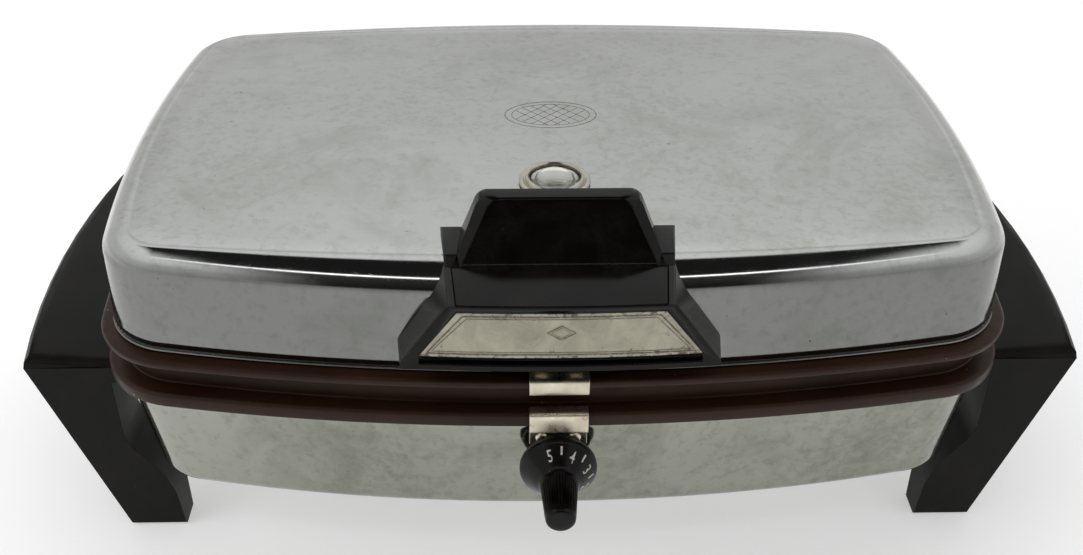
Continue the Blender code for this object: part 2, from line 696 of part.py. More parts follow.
def side_handle(side, name):
    """A moulded handle with its two legs, shaped to the wall of the pan."""
    rings = [handle_ring(0, 1.2 * MM, side), handle_ring(1.2 * MM, 0, side)]
    for degrees in (0, 30, 60, 90):
        angle = math.radians(degrees)
        rings.append(handle_ring(HANDLE_EDGE_Z + HANDLE_EDGE_RADIUS * math.sin(angle),
                                 HANDLE_EDGE_RADIUS * (1 - math.cos(angle)), side))
    handle = skin(rings, close_start=True, close_end=True)

    foot_y = 60 * MM
    knee_y = 50 * MM
    arch = [(foot_y, -MM), (foot_y, 0), (knee_y, 46 * MM)]
    arch += [(p.x, p.y) for p in arc(Vector((34 * MM, 50 * MM)), 16 * MM, 0, math.pi / 2, 4)]
    arch += [(-y, z) for y, z in reversed(arch)]
    opening = upright(plate([arch], 120 * MM), ACROSS, (side * 190 * MM, 0, 0))
    combine(handle, opening, "DIFFERENCE", f"{name}_arch")

    block_bottom = 77 * MM
    inner = [(100 * MM, -MM), (153.5 * MM, -MM), (155 * MM, 18 * MM), (158 * MM, 28 * MM),
             (163.5 * MM, 36 * MM), (168.5 * MM, 43 * MM), (170.5 * MM, 50 * MM),
             (170.5 * MM, block_bottom), (100 * MM, block_bottom)]
    inside = upright(plate([[(side * x, z) for x, z in inner]], 200 * MM), FACING, (0, 0, 0))
    combine(handle, inside, "DIFFERENCE", f"{name}_inside")
    combine(handle, clearance_solid(pan_sections(), GAP), "DIFFERENCE", f"{name}_wall")

    low, high = sorted((side * 176 * MM, side * 194 * MM))
    pocket = box((low, -46 * MM, 40 * MM), (high, 46 * MM, 79 * MM))
    combine(handle, pocket, "DIFFERENCE", f"{name}_pocket")
    for front in (-1, 1):
        y = front * HANDLE_SCREW_Y
        drill(handle, 2.0 * MM, (side * 150 * MM, y, HANDLE_SCREW_Z), (side * 175 * MM, y, HANDLE_SCREW_Z),
              f"{name}_screw_hole_{front}")
    add_part(handle, name, BAKELITE)
    smooth(handle, 30)


def side_handle_screws():
    number = 0
    for side in (-1, 1):
        for front in (-1, 1):
            number += 1
            y = front * HANDLE_SCREW_Y
            seat = wall_x(y, pan_inset(HANDLE_SCREW_Z)) - SHELL_THICKNESS - 0.9 * MM
            screw(f"side_handle_screw_{number}", (side * seat, y, HANDLE_SCREW_Z), (-side, 0, 0),
                  3.4 * MM, 1.8 * MM, 1.7 * MM, 12 * MM)


# ---------------------------------------------------------------- lid handle

def trapezoid(grow=0.0):
    (top_x, top_z), (bottom_x, bottom_z) = FACE_PLATE
    return [(-bottom_x - grow, bottom_z - grow), (bottom_x + grow, bottom_z - grow),
            (top_x + grow, top_z + grow), (-top_x - grow, top_z + grow)]


def face_arc(depth):
    """Plan points of the handle's bowed front, set back by a depth."""
    half = 60 * MM
    return [(half * i / 4, LID_HANDLE_FRONT_Y + depth + LID_HANDLE_BOW * (i / 4) ** 2) for i in range(-4, 5)]


def face_slab(near, far):
    """A bowed sheet between two depths behind the handle's front."""
    outline = face_arc(near) + face_arc(far)[::-1]
    slab = plate([outline], 80 * MM)
    slab.data.transform(Matrix.Translation((0, 0, 140 * MM)))
    return slab


def front_section(y, top_x, bottom_x, low_z):
    """Front-view outline of the handle's block at one depth."""
    half = [(bottom_x, low_z - 10 * MM), (bottom_x, low_z), (top_x, LEDGE_Z), (top_x, 175 * MM)]
    outline = half + [(-x, z) for x, z in reversed(half)]
    return [(x, y, z) for x, z in outline]


def lid_handle():
    """The moulded block over the lid's front edge, with the raised lip that it stands on when open."""
    corner_y = -103 * MM
    side_view = [(LID_HANDLE_BACK_Y, 140 * MM), (LID_HANDLE_BACK_Y, LID_HANDLE_FLANGE_Z),
                 (corner_y + 4 * MM, LID_HANDLE_FLANGE_Z), (corner_y, LEDGE_Z), (-130 * MM, LEDGE_Z),
                 (-130 * MM, LID_HANDLE_BOTTOM_Z), (-100 * MM, LID_HANDLE_BOTTOM_Z)]
    block = upright(plate([side_view], 130 * MM), ACROSS, (0, 0, 0))
    taper = skin([front_section(-75 * MM, 41.3 * MM, 59 * MM, 123.5 * MM),
                  front_section(-127 * MM, 35.8 * MM, 52.8 * MM, 125 * MM)], close_start=True, close_end=True)
    combine(block, taper, "INTERSECT", "lid_handle_taper")
    combine(block, face_slab(0, 60 * MM), "INTERSECT", "lid_handle_bow")
    foot = [(-36.5 * MM, LID_HANDLE_BACK_Y), (36.5 * MM, LID_HANDLE_BACK_Y), (38 * MM, -106.2 * MM),
            (-38 * MM, -106.2 * MM)]
    lip = [(-27 * MM, -84.8 * MM), (27 * MM, -84.8 * MM), (26.6 * MM, -91.4 * MM), (-26.6 * MM, -91.4 * MM)]
    upstand = skin([[(x, y, 144 * MM) for x, y in foot], [(x, y, LIP_Z) for x, y in lip]],
                   close_start=True, close_end=True)
    combine(block, upstand, "UNION", "lid_handle_upstand")
    combine(block, clearance_solid(lid_sections(), GAP), "DIFFERENCE", "lid_handle_seat")
    window = upright(plate([trapezoid(GAP)], 80 * MM), FACING, (0, LID_HANDLE_FRONT_Y, 0))
    recess = face_slab(-2 * MM, 0.9 * MM)
    combine(recess, window, "INTERSECT", "nameplate_window")
    combine(block, recess, "DIFFERENCE", "nameplate_recess")
    front = LID_HANDLE_FRONT_Y
    groove = box((-46.6 * MM, front - MM, 125.8 * MM), (46.6 * MM, front + 3.4 * MM, 128.2 * MM))
    combine(block, groove, "DIFFERENCE", "lid_handle_groove")
    hollow = box((-30 * MM, front + 6 * MM, 110 * MM), (30 * MM, -100 * MM, 138 * MM))
    combine(block, hollow, "DIFFERENCE", "lid_handle_hollow")
    for side in (-1, 1):
        x = side * LID_SCREW_X
        drill(block, 2.0 * MM, (x, LID_SCREW_Y, 145 * MM), (x, LID_SCREW_Y, 162 * MM),
              f"lid_handle_hole_{side}")
    add_part(block, "lid_handle", BAKELITE)

    nameplate = face_slab(0.1 * MM, 0.6 * MM)
    blank = upright(plate([trapezoid()], 80 * MM), FACING, (0, front, 0))
    combine(nameplate, blank, "INTERSECT", "nameplate_blank")
    add_part(nameplate, "nameplate", NICKEL)
    seat = LID_TOP_Z - SHELL_THICKNESS - 0.9 * MM
    for label, side in (("left", -1), ("right", 1)):
        screw(f"lid_handle_screw_{label}", (side * LID_SCREW_X, LID_SCREW_Y, seat), (0, 0, -1),
              3.4 * MM, 1.8 * MM, 1.7 * MM, 11 * MM)


# ---------------------------------------------------------------- signal lamp

def signal_lamp():
    """Bezel, glass lens, neon lamp and the clip that holds the lamp over the upper reflector."""
    top = LID_TOP_Z + GAP
    bezel = [(LENS_RADIUS + GAP, 2.6 * MM), (11.2 * MM, 2.9 * MM), (BEZEL_RADIUS - 0.4 * MM, 1.6 * MM),
             (BEZEL_RADIUS, 0), (10.5 * MM, 0), (10.5 * MM, -5 * MM), (LENS_RADIUS + GAP, -5 * MM),
             (LENS_RADIUS + GAP, 2.6 * MM)]
    add_part(turned(bezel, (0, LENS_Y, top), (0, 0, 1), FINE), "lens_bezel", CHROME)
    lens = [(0, 3.6 * MM), (4.5 * MM, 3.1 * MM), (7.6 * MM, 1.9 * MM), (LENS_RADIUS, 0.4 * MM),
            (LENS_RADIUS, -3 * MM), (0, -3 * MM)]
    add_part(turned(lens, (0, LENS_Y, top), (0, 0, 1), FINE), "signal_lens", GLASS)
    lamp = [(0, 3.5 * MM), (1.9 * MM, 2.6 * MM), (2.4 * MM, MM), (2.4 * MM, -3.5 * MM), (0, -3.5 * MM)]
    add_part(turned(lamp, (0, LENS_Y, 143.4 * MM), (0, 0, 1), COARSE), "signal_lamp", AMBER_GLASS)
    holder = strip([(LENS_Y - 10 * MM, 138.9 * MM), (LENS_Y + 4 * MM, 138.9 * MM),
                    (LENS_Y + 4 * MM, 146 * MM)], 6 * MM)
    solidify(holder, 0.5 * MM, 0)
    add_part(holder, "lamp_holder", STEEL)


# ---------------------------------------------------------------- heat control

def heat_control():
    """Knob, shaft, bush, and the thermostat behind the front wall of the pan."""
    length = KNOB_LENGTH
    bore = SHAFT_RADIUS + RUNNING_GAP
    bore_depth = 18 * MM
    knob = [(0, length), (4.5 * MM, length), (5.3 * MM, length - 0.8 * MM), (6.6 * MM, 8.6 * MM),
            (7.3 * MM, 7.6 * MM), (12.4 * MM, 3.6 * MM), (SKIRT_RADIUS, 2.3 * MM), (SKIRT_RADIUS, 0.4 * MM),
            (SKIRT_RADIUS - 0.4 * MM, 0), (bore, 0), (bore, bore_depth), (0, bore_depth)]
    add_part(turned(knob, (0, KNOB_BACK_Y, KNOB_Z), (0, -1, 0), FINE), "control_knob", BAKELITE)
    shaft_end = -94 * MM
    shaft_start = KNOB_BACK_Y - bore_depth + GAP
    shaft = cylinder(SHAFT_RADIUS, (0, shaft_start, KNOB_Z), (0, shaft_end, KNOB_Z), MEDIUM)
    add_part(shaft, "knob_shaft", BRASS)
    bush_length = 11 * MM
    bush = [(bore, bush_length), (BUSH_RADIUS, bush_length), (BUSH_RADIUS, 0), (bore, 0), (bore, bush_length)]
    bush_y = -100.2 * MM
    add_part(turned(bush, (0, bush_y, KNOB_Z), (0, -1, 0), MEDIUM), "shaft_bush", BRASS)
    bracket = strip([(-99 * MM, 84 * MM), (-99 * MM, 60 * MM), (-72 * MM, 60 * MM)], 26 * MM)
    solidify(bracket, 1.2 * MM, 0)
    add_part(bracket, "thermostat_bracket", STEEL)
    drill(bracket, SHAFT_RADIUS + 0.5 * MM, (0, -105 * MM, KNOB_Z), (0, -95 * MM, KNOB_Z),
          "bracket_shaft_hole")
    block = box((-9 * MM, -91 * MM, 61 * MM), (9 * MM, -74 * MM, 67 * MM))
    bevel(block, 0.8 * MM, 1)
    add_part(block, "thermostat_block", CERAMIC)
    blade = strip([(-76 * MM, 67.7 * MM), (-85 * MM, 67.7 * MM), (-90 * MM, 73 * MM), (-90 * MM, 83 * MM),
                   (-86 * MM, 86 * MM), (-78 * MM, 86 * MM)], 9 * MM)
    solidify(blade, 0.5 * MM, 0)
    add_part(blade, "bimetal_blade", BRASS)


# ---------------------------------------------------------------- grid clips

def clip(name, path, rivet_z, rivet_y):
    """A spring strip with two rivet holes; it springs out about the line of its rivets."""
    origin = Vector((0, rivet_y, rivet_z))
    bent = strip([(y * MM - origin.y, z * MM - origin.z) for y, z in path], CLIP_WIDTH)
    solidify(bent, CLIP_THICKNESS, 0)
    add_part(bent, name, NICKEL)
    bent.location = origin
    for side in (-1, 1):
        x = side * CLIP_RIVET_X
        drill(bent, 1.7 * MM, (x, rivet_y - 1.5 * MM, rivet_z), (x, rivet_y + 1.5 * MM, rivet_z),
              f"{name}_hole_{side}")


LOWER_CLIP_PATH = [(-110.9, 78.6), (-110.9, 85.4), (-111.6, 86.9), (-116.2, 88.4), (-117.0, 89.6),
                   (-117.0, 96.0), (-116.1, 97.0), (-113.6, 97.1), (-112.8, 97.1)]
UPPER_CLIP_PATH = [(-108.2, 120.2), (-108.2, 113.4), (-109.6, 112.0), (-115.8, 111.9), (-116.7, 111.0),
                   (-116.7, 106.4), (-115.9, 105.6), (-114.0, 105.6), (-113.2, 106.0)]


def grid_clips():
    clip("lower_grid_clip", LOWER_CLIP_PATH, LOWER_CLIP_RIVET_Z, LOWER_CLIP_Y)
    clip("upper_grid_clip", UPPER_CLIP_PATH, UPPER_CLIP_RIVET_Z, UPPER_CLIP_Y)
    play = 0.35 * MM
    inner = HALF_DEPTH - pan_inset(LOWER_CLIP_RIVET_Z) - SHELL_THICKNESS
    outer = -LOWER_CLIP_Y + CLIP_THICKNESS / 2 + play
    grip = outer - inner + 0.7 * MM
    lid_outer = HALF_DEPTH - lid_inset(UPPER_CLIP_RIVET_Z) + 0.4 * MM
    lid_grip = lid_outer + UPPER_CLIP_Y + CLIP_THICKNESS / 2 + play
    for label, side in (("left", -1), ("right", 1)):
        x = side * CLIP_RIVET_X
        rivet(f"lower_clip_rivet_{label}", (x, -outer, LOWER_CLIP_RIVET_Z), (0, -1, 0), grip)
        rivet(f"upper_clip_rivet_{label}", (x, -lid_outer, UPPER_CLIP_RIVET_Z), (0, -1, 0), lid_grip)


# ---------------------------------------------------------------- hinge

def hinge_base():
    """Two slotted brackets on the rear wall of the pan, and the pin that rises in their slots."""
    low, high = 76 * MM, 89.5 * MM
    front = wall_y(58 * MM, pan_inset(high)) + 2 * GAP
    ear = [(front, low), (REAR_Y, low), (REAR_Y, 98.5 * MM), (113.6 * MM, 98.5 * MM), (113.6 * MM, high),
           (front, high)]
    half_slot = HINGE_PIN_RADIUS + RUNNING_GAP
    slot = arc(Vector((HINGE_Y, HINGE_Z)), half_slot, math.pi, math.tau, MEDIUM // 2)
    slot += arc(Vector((HINGE_Y, HINGE_Z + HINGE_LIFT)), half_slot, 0, math.pi, MEDIUM // 2)
    slot = [(p.x, p.y) for p in slot]
    for label, side in (("left", -1), ("right", 1)):
        bracket = upright(plate([ear, slot], BRACKET_THICKNESS), ACROSS, (side * BRACKET_X, 0, 0))
        near, far = sorted((side * 59 * MM, side * (BRACKET_X + BRACKET_THICKNESS / 4)))
        flange = box((near, front, low), (far, front + FLANGE_THICKNESS, high))
        combine(bracket, flange, "UNION", f"base_bracket_flange_{label}")
        for z in BASE_RIVET_Z:
            x = side * HINGE_RIVET_X
            drill(bracket, 1.6 * MM, (x, 100 * MM, z), (x, 115 * MM, z),
                  f"base_bracket_hole_{label}_{z * 1000:.0f}")
        add_part(bracket, f"base_bracket_{label}", STEEL)
        for i, z in enumerate(BASE_RIVET_Z):
            seat = front + FLANGE_THICKNESS + GAP
            inner = wall_y(HINGE_RIVET_X, pan_inset(z)) - SHELL_THICKNESS - 0.9 * MM
            rivet(f"base_bracket_rivet_{label}_{i + 1}", (side * HINGE_RIVET_X, seat, z), (0, 1, 0),
                  seat - inner, STEEL)
    pin = cylinder(HINGE_PIN_RADIUS, (-84 * MM, 0, 0), (84 * MM, 0, 0), MEDIUM)
    pin.location = (0, HINGE_Y, HINGE_Z)
    add_part(pin, "hinge_pin", STEEL)


def hinge_arms():
    """Two arms from the rear wall of the lid down to the pin, each with its origin on the pin's axis."""
    front = wall_y(58 * MM, lid_inset(116 * MM)) + 2 * GAP
    low, high = 116 * MM, 139 * MM
    round_end = 5.6 * MM
    inner_y = HINGE_Y - round_end
    outer_y = HINGE_Y + round_end
    arm = [(front, low), (inner_y, 114 * MM)]
    arm += [(p.x, p.y) for p in arc(Vector((HINGE_Y, HINGE_Z)), round_end, math.pi, math.tau, 8)]
    arm += [(outer_y, 112 * MM), (front + 4 * MM, high), (front, high)]
    hole = arc(Vector((HINGE_Y, HINGE_Z)), HINGE_PIN_RADIUS + RUNNING_GAP, 0, math.tau, MEDIUM)[:-1]
    outlines = [[(y - HINGE_Y, z - HINGE_Z) for y, z in outline]
                for outline in (arm, [(p.x, p.y) for p in hole])]
    for label, side in (("left", -1), ("right", 1)):
        plate_mesh = upright(plate(outlines, BRACKET_THICKNESS), ACROSS, (side * ARM_X, 0, 0))
        near, far = sorted((side * 59 * MM, side * (ARM_X + BRACKET_THICKNESS / 4)))
        flange = box((near, front - HINGE_Y, low - HINGE_Z),
                     (far, front + FLANGE_THICKNESS - HINGE_Y, high - HINGE_Z))
        flange.location = (0, HINGE_Y, HINGE_Z)
        plate_mesh.location = (0, HINGE_Y, HINGE_Z)
        combine(plate_mesh, flange, "UNION", f"hinge_arm_flange_{label}")
        for z in ARM_RIVET_Z:
            x = side * HINGE_RIVET_X
            drill(plate_mesh, 1.6 * MM, (x, 100 * MM, z), (x, 115 * MM, z),
                  f"hinge_arm_hole_{label}_{z * 1000:.0f}")
        add_part(plate_mesh, f"hinge_arm_{label}", STEEL)
        for i, z in enumerate(ARM_RIVET_Z):
            seat = front + FLANGE_THICKNESS + GAP
            inner = wall_y(HINGE_RIVET_X, lid_inset(z)) - SHELL_THICKNESS - 0.9 * MM
            rivet(f"hinge_arm_rivet_{label}_{i + 1}", (side * HINGE_RIVET_X, seat, z), (0, 1, 0),
                  seat - inner, STEEL)


# ---------------------------------------------------------------- appliance inlet

def appliance_inlet():
    """A moulded shroud around two pins, for the connector of a detachable cord."""
    half_x, half_z = 16 * MM, 10.5 * MM
    rear = 119 * MM
    wall = 3 * MM
    floor_y = 105.5 * MM
    shroud = box((INLET_X - half_x, 92 * MM, INLET_Z - half_z), (INLET_X + half_x, rear, INLET_Z + half_z))
    cavity = box((INLET_X - half_x + wall, floor_y, INLET_Z - half_z + wall),
                 (INLET_X + half_x - wall, rear + 5 * MM, INLET_Z + half_z - wall))
    combine(shroud, cavity, "DIFFERENCE", "inlet_cavity")
    combine(shroud, clearance_solid(pan_sections(), GAP), "DIFFERENCE", "inlet_seat")
    pin_offset = 6.35 * MM
    pin_radius = 2.4 * MM
    for label, side in (("left", -1), ("right", 1)):
        x = INLET_X + side * pin_offset
        drill(shroud, pin_radius + GAP, (x, 85 * MM, INLET_Z), (x, 112 * MM, INLET_Z),
              f"inlet_pin_hole_{label}")
        pin = cylinder(pin_radius, (x, 86 * MM, INLET_Z), (x, 116 * MM, INLET_Z))
        add_part(pin, f"inlet_pin_{label}", NICKEL)
    add_part(shroud, "inlet_shroud", BAKELITE)


# ---------------------------------------------------------------- the whole object

def build():
    lower_shell()
    bottom_cover()
    grid("lower_grid", LOWER_RIM, 1)
    heating("lower", -1, LOWER_REFLECTOR_Z)
    side_handle(-1, "left_side_handle")
    side_handle(1, "right_side_handle")
    side_handle_screws()
    heat_control()
    hinge_base()
    appliance_inlet()
    upper_shell()
    grid("upper_grid", UPPER_RIM, -1)
    heating("upper", 1, UPPER_REFLECTOR_Z)
    lid_handle()
    signal_lamp()
    hinge_arms()
    grid_clips()


build()
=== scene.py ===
import math

import bmesh
import bpy
from mathutils import Matrix, Vector


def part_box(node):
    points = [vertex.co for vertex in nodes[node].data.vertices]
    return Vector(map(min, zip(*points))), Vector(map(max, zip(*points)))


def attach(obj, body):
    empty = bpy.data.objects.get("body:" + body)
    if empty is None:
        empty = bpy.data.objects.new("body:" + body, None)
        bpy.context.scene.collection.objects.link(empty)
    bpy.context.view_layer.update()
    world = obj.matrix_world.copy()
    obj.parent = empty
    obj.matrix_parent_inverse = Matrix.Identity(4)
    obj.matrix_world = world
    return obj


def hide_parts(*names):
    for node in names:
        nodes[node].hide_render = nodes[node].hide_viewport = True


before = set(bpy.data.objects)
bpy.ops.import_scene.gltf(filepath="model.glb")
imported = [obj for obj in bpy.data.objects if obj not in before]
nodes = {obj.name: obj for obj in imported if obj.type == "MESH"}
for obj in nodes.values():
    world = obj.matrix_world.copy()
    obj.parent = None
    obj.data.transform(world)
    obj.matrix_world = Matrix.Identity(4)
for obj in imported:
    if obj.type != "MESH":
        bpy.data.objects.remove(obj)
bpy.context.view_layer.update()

MM = 0.001
scene = bpy.context.scene

# The middle of the two shells, from which the plan outlines below are measured
SHELL_LOW, SHELL_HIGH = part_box("upper_shell")
MIDDLE_Y = (SHELL_LOW.y + SHELL_HIGH.y) / 2
PARTING_Z = 103.35 * MM
HALF_WIDTH = 167 * MM
HALF_DEPTH = 110.8 * MM
FRONT_BOW = 19.4 * MM
SIDE_BOW = 10.5 * MM
CORNER_RADIUS = 28.5 * MM


# ---------------------------------------------------------------- camera, floor and light

VIEW_AZIMUTH, VIEW_ELEVATION, VIEW_ROLL = -1.459, 34.534, 0.331
VIEW_TARGET = Vector((-3.456 * MM, MIDDLE_Y, 74.65 * MM))
VIEW_DISTANCE = 531.39 * MM
LENS_MM, SENSOR_MM = 40.42, 36


def set_camera():
    azimuth, elevation, roll = (math.radians(a) for a in (VIEW_AZIMUTH, VIEW_ELEVATION, VIEW_ROLL))
    back = Vector((math.sin(azimuth) * math.cos(elevation), -math.cos(azimuth) * math.cos(elevation),
                   math.sin(elevation)))
    right = Vector((math.cos(azimuth), math.sin(azimuth), 0))
    up = back.cross(right)
    turned_right = right * math.cos(roll) + up * math.sin(roll)
    turned_up = up * math.cos(roll) - right * math.sin(roll)
    data = bpy.data.cameras.new("camera")
    data.lens = LENS_MM
    data.sensor_width = SENSOR_MM
    data.clip_start = 0.01
    camera = bpy.data.objects.new("camera", data)
    scene.collection.objects.link(camera)
    matrix = Matrix((turned_right, turned_up, back)).transposed().to_4x4()
    matrix.translation = VIEW_TARGET + back * VIEW_DISTANCE
    camera.matrix_world = matrix
    scene.camera = camera


def area_light(name, place, aim, size, power, color=(1, 1, 1)):
    data = bpy.data.lights.new(name, "AREA")
    data.shape = "RECTANGLE"
    data.size, data.size_y = size
    data.energy = power
    data.color = color
    light = bpy.data.objects.new(name, data)
    scene.collection.objects.link(light)
    light.location = place
    light.rotation_euler = (Vector(aim) - Vector(place)).to_track_quat("-Z", "Y").to_euler()
    light.visible_glossy = False


TUBE_STRENGTH = 4
DARK_SHARE = 0.985


def set_world():
    """A pale room whose front half is dark, with one thin bright tube in it, for the chrome to mirror."""
    world = bpy.data.worlds.new("room")
    world.use_nodes = True
    scene.world = world
    tree = world.node_tree
    background = tree.nodes["Background"]
    coords = tree.nodes.new("ShaderNodeTexCoord")
    split = tree.nodes.new("ShaderNodeSeparateXYZ")
    tree.links.new(coords.outputs["Generated"], split.inputs[0])
    x, y, z = split.outputs

    def curve(value, stops):
        ramp = tree.nodes.new("ShaderNodeValToRGB")
        while len(ramp.color_ramp.elements) < len(stops):
            ramp.color_ramp.elements.new(0.5)
        for element, (place, level) in zip(ramp.color_ramp.elements, stops):
            element.position = place
            element.color = (level, level, level, 1)
        tree.links.new(value, ramp.inputs[0])
        return ramp.outputs[0]

    def combine(operation, a, b):
        node = tree.nodes.new("ShaderNodeMath")
        node.operation = operation
        for socket, value in zip(node.inputs, (a, b)):
            if isinstance(value, (int, float)):
                socket.default_value = value
            else:
                tree.links.new(value, socket)
        return node.outputs[0]

    # angle over the object, from the horizon in front (0) to the one behind it (1)
    over = combine("DIVIDE", combine("ARCTAN2", z, combine("MULTIPLY", y, -1)), math.pi)
    aside = combine("ABSOLUTE", x, 0)
    high = combine("MULTIPLY", curve(over, [(0.350, 0), (0.360, 1), (0.655, 1), (0.685, 0)]),
                   curve(aside, [(0.40, 1), (0.52, 0)]))
    low = combine("MULTIPLY", curve(over, [(0.02, 0), (0.06, 0.97), (0.310, 0.97), (0.325, 0)]),
                  curve(aside, [(0.34, 1), (0.50, 0)]))
    tube = combine("MULTIPLY", curve(over, [(0.330, 0), (0.335, 1), (0.341, 1), (0.346, 0)]),
                   curve(aside, [(0.25, 1), (0.55, 0)]))
    dark = combine("MAXIMUM", high, low)
    level = curve(z, [(0.0, 0.72), (0.36, 0.66), (0.56, 0.86), (0.8, 0.97), (1.0, 1.0)])
    open_share = combine("SUBTRACT", 1, combine("MULTIPLY", dark, DARK_SHARE))
    strength = combine("MULTIPLY", level, open_share)
    strength = combine("ADD", strength, combine("MULTIPLY", tube, TUBE_STRENGTH))
    tree.links.new(strength, background.inputs["Strength"])
    background.inputs["Color"].default_value = (1.0, 1.0, 1.0, 1)


# ---------------------------------------------------------------- material nodes

class Paint:
    """A Principled material with the few texture nodes that the finishes below share."""

    def __init__(self, name, **values):
        self.material = bpy.data.materials.new(name)
        self.material.use_nodes = True
        self.tree = self.material.node_tree
        self.shader = self.tree.nodes["Principled BSDF"]
        for socket, value in values.items():
            self.shader.inputs[socket.replace("_", " ")].default_value = value

    def add(self, kind, **settings):
        node = self.tree.nodes.new(kind)
        for key, value in settings.items():
            setattr(node, key, value)
        return node

    def plug(self, value, socket):
        if isinstance(value, bpy.types.NodeSocket):
            self.tree.links.new(value, socket)
        else:
            socket.default_value = value

    def coords(self, stretch=(1, 1, 1), turn=(0, 0, 0)):
        source = self.add("ShaderNodeTexCoord")
        mapping = self.add("ShaderNodeMapping")
        mapping.inputs["Scale"].default_value = stretch
        mapping.inputs["Rotation"].default_value = turn
        self.tree.links.new(source.outputs["Object"], mapping.inputs["Vector"])
        return mapping.outputs[0]

    def noise(self, scale, detail=4, roughness=0.5, distortion=0.0, stretch=(1, 1, 1), turn=(0, 0, 0)):
        node = self.add("ShaderNodeTexNoise")
        self.tree.links.new(self.coords(stretch, turn), node.inputs["Vector"])
        node.inputs["Scale"].default_value = scale
        node.inputs["Detail"].default_value = detail
        node.inputs["Roughness"].default_value = roughness
        node.inputs["Distortion"].default_value = distortion
        return node.outputs["Fac"]

    def ramp(self, value, *stops):
        node = self.add("ShaderNodeValToRGB")
        while len(node.color_ramp.elements) < len(stops):
            node.color_ramp.elements.new(0.5)
        for element, (place, color) in zip(node.color_ramp.elements, stops):
            element.position = place
            if isinstance(color, (int, float)):
                color = (color, color, color)
            element.color = (*color, 1)
        self.plug(value, node.inputs[0])
        return node.outputs[0]

    def math(self, operation, a, b=0.0):
        node = self.add("ShaderNodeMath", operation=operation)
        self.plug(a, node.inputs[0])
        self.plug(b, node.inputs[1])
        return node.outputs[0]

    def mean(self, a, b, share):
        """A weighted mean of two values; share is the weight of the first."""
        return self.math("ADD", self.math("MULTIPLY", a, share), self.math("MULTIPLY", b, 1 - share))

    def mix(self, factor, a, b):
        node = self.add("ShaderNodeMix", data_type="RGBA")
        self.plug(factor, node.inputs[0])
        for value, socket in ((a, node.inputs[6]), (b, node.inputs[7])):
            self.plug((*value, 1) if isinstance(value, tuple) else value, socket)
        return node.outputs[2]

    def bump(self, height, distance, strength=1.0, below=None):
        node = self.add("ShaderNodeBump")
        node.inputs["Distance"].default_value = distance
        node.inputs["Strength"].default_value = strength
        self.plug(height, node.inputs["Height"])
        if below is not None:
            self.tree.links.new(below, node.inputs["Normal"])
        return node.outputs[0]

    def finish(self, color=None, roughness=None, normal=None):
        for value, name in ((color, "Base Color"), (roughness, "Roughness"), (normal, "Normal")):
            if value is not None:
                self.tree.links.new(value, self.shader.inputs[name])
        return self.material


def chrome_paint(name, light, dull, stain, wall=None):
    """Bright plate gone cloudy: soft dull patches, wiping marks, hairline scratches and pits. With wall, two
    heights, the plate below them is darkened by painted shade that dims its reflections.
    """
    paint = Paint(name, Metallic=1.0)
    cloud = paint.noise(7, 6, 0.62, 0.5)
    patch = paint.noise(19, 6, 0.66, 1.0)
    wipe = paint.noise(13, 6, 0.7, 2.2, stretch=(1, 1.6, 1))
    fine = paint.noise(150, 4, 0.65, 0.3)
    color = paint.mix(paint.ramp(cloud, (0.32, 0), (0.70, 1)), light, dull)
    color = paint.mix(paint.ramp(patch, (0.50, 0), (0.80, 0.8)), color, stain)
    wiped = tuple(min(c * 1.16, 1) for c in light)
    color = paint.mix(paint.ramp(wipe, (0.57, 0), (0.70, 0.35)), color, wiped)
    color = paint.mix(paint.ramp(fine, (0.54, 0), (0.74, 0.5)), color, stain)
    freckle = paint.mean(paint.noise(240, 5, 0.7, 0.4), cloud, 0.6)
    color = paint.mix(paint.ramp(freckle, (0.50, 0), (0.62, 0.55)), color, stain)
    pits = paint.noise(430, 2, 0.5)
    color = paint.mix(paint.ramp(pits, (0.77, 0), (0.80, 0.85)), color, (0.07, 0.065, 0.05))
    # painted shade: below wall[0] the colour is mixed 62 % of the way to near-black, fading out by wall[1],
    # so the lower wall mirrors the bright floor more dimly
    if wall:
        split = paint.add("ShaderNodeSeparateXYZ")
        paint.plug(paint.coords(), split.inputs[0])
        painted_shade_rise = paint.math("DIVIDE", paint.math("SUBTRACT", split.outputs[2], wall[0]), wall[1] - wall[0])
        color = paint.mix(paint.ramp(painted_shade_rise, (0, 0.62), (1, 0)), color, (0.02, 0.021, 0.016))
    rough = paint.ramp(paint.mean(cloud, patch, 0.5), (0.35, 0.06), (0.55, 0.13), (0.78, 0.24))
    scratch = paint.noise(75, 3, 0.7, 0.2, stretch=(1.5, 26, 26), turn=(0, 0, 0.35))
    scratch_b = paint.noise(65, 3, 0.7, 0.2, stretch=(24, 1.5, 24), turn=(0, 0, -0.5))
    lines = paint.math("ADD", paint.ramp(scratch, (0.66, 0), (0.70, 1)),
                       paint.ramp(scratch_b, (0.68, 0), (0.72, 1)))
    rough = paint.math("ADD", rough, paint.math("MULTIPLY", lines, 0.05))
    wave = paint.bump(paint.noise(11, 2, 0.4), 0.5 * MM, 0.2)
    normal = paint.bump(lines, 0.02 * MM, 0.2, wave)
    normal = paint.bump(fine, 0.015 * MM, 0.2, normal)
    return paint.finish(color, rough, normal)


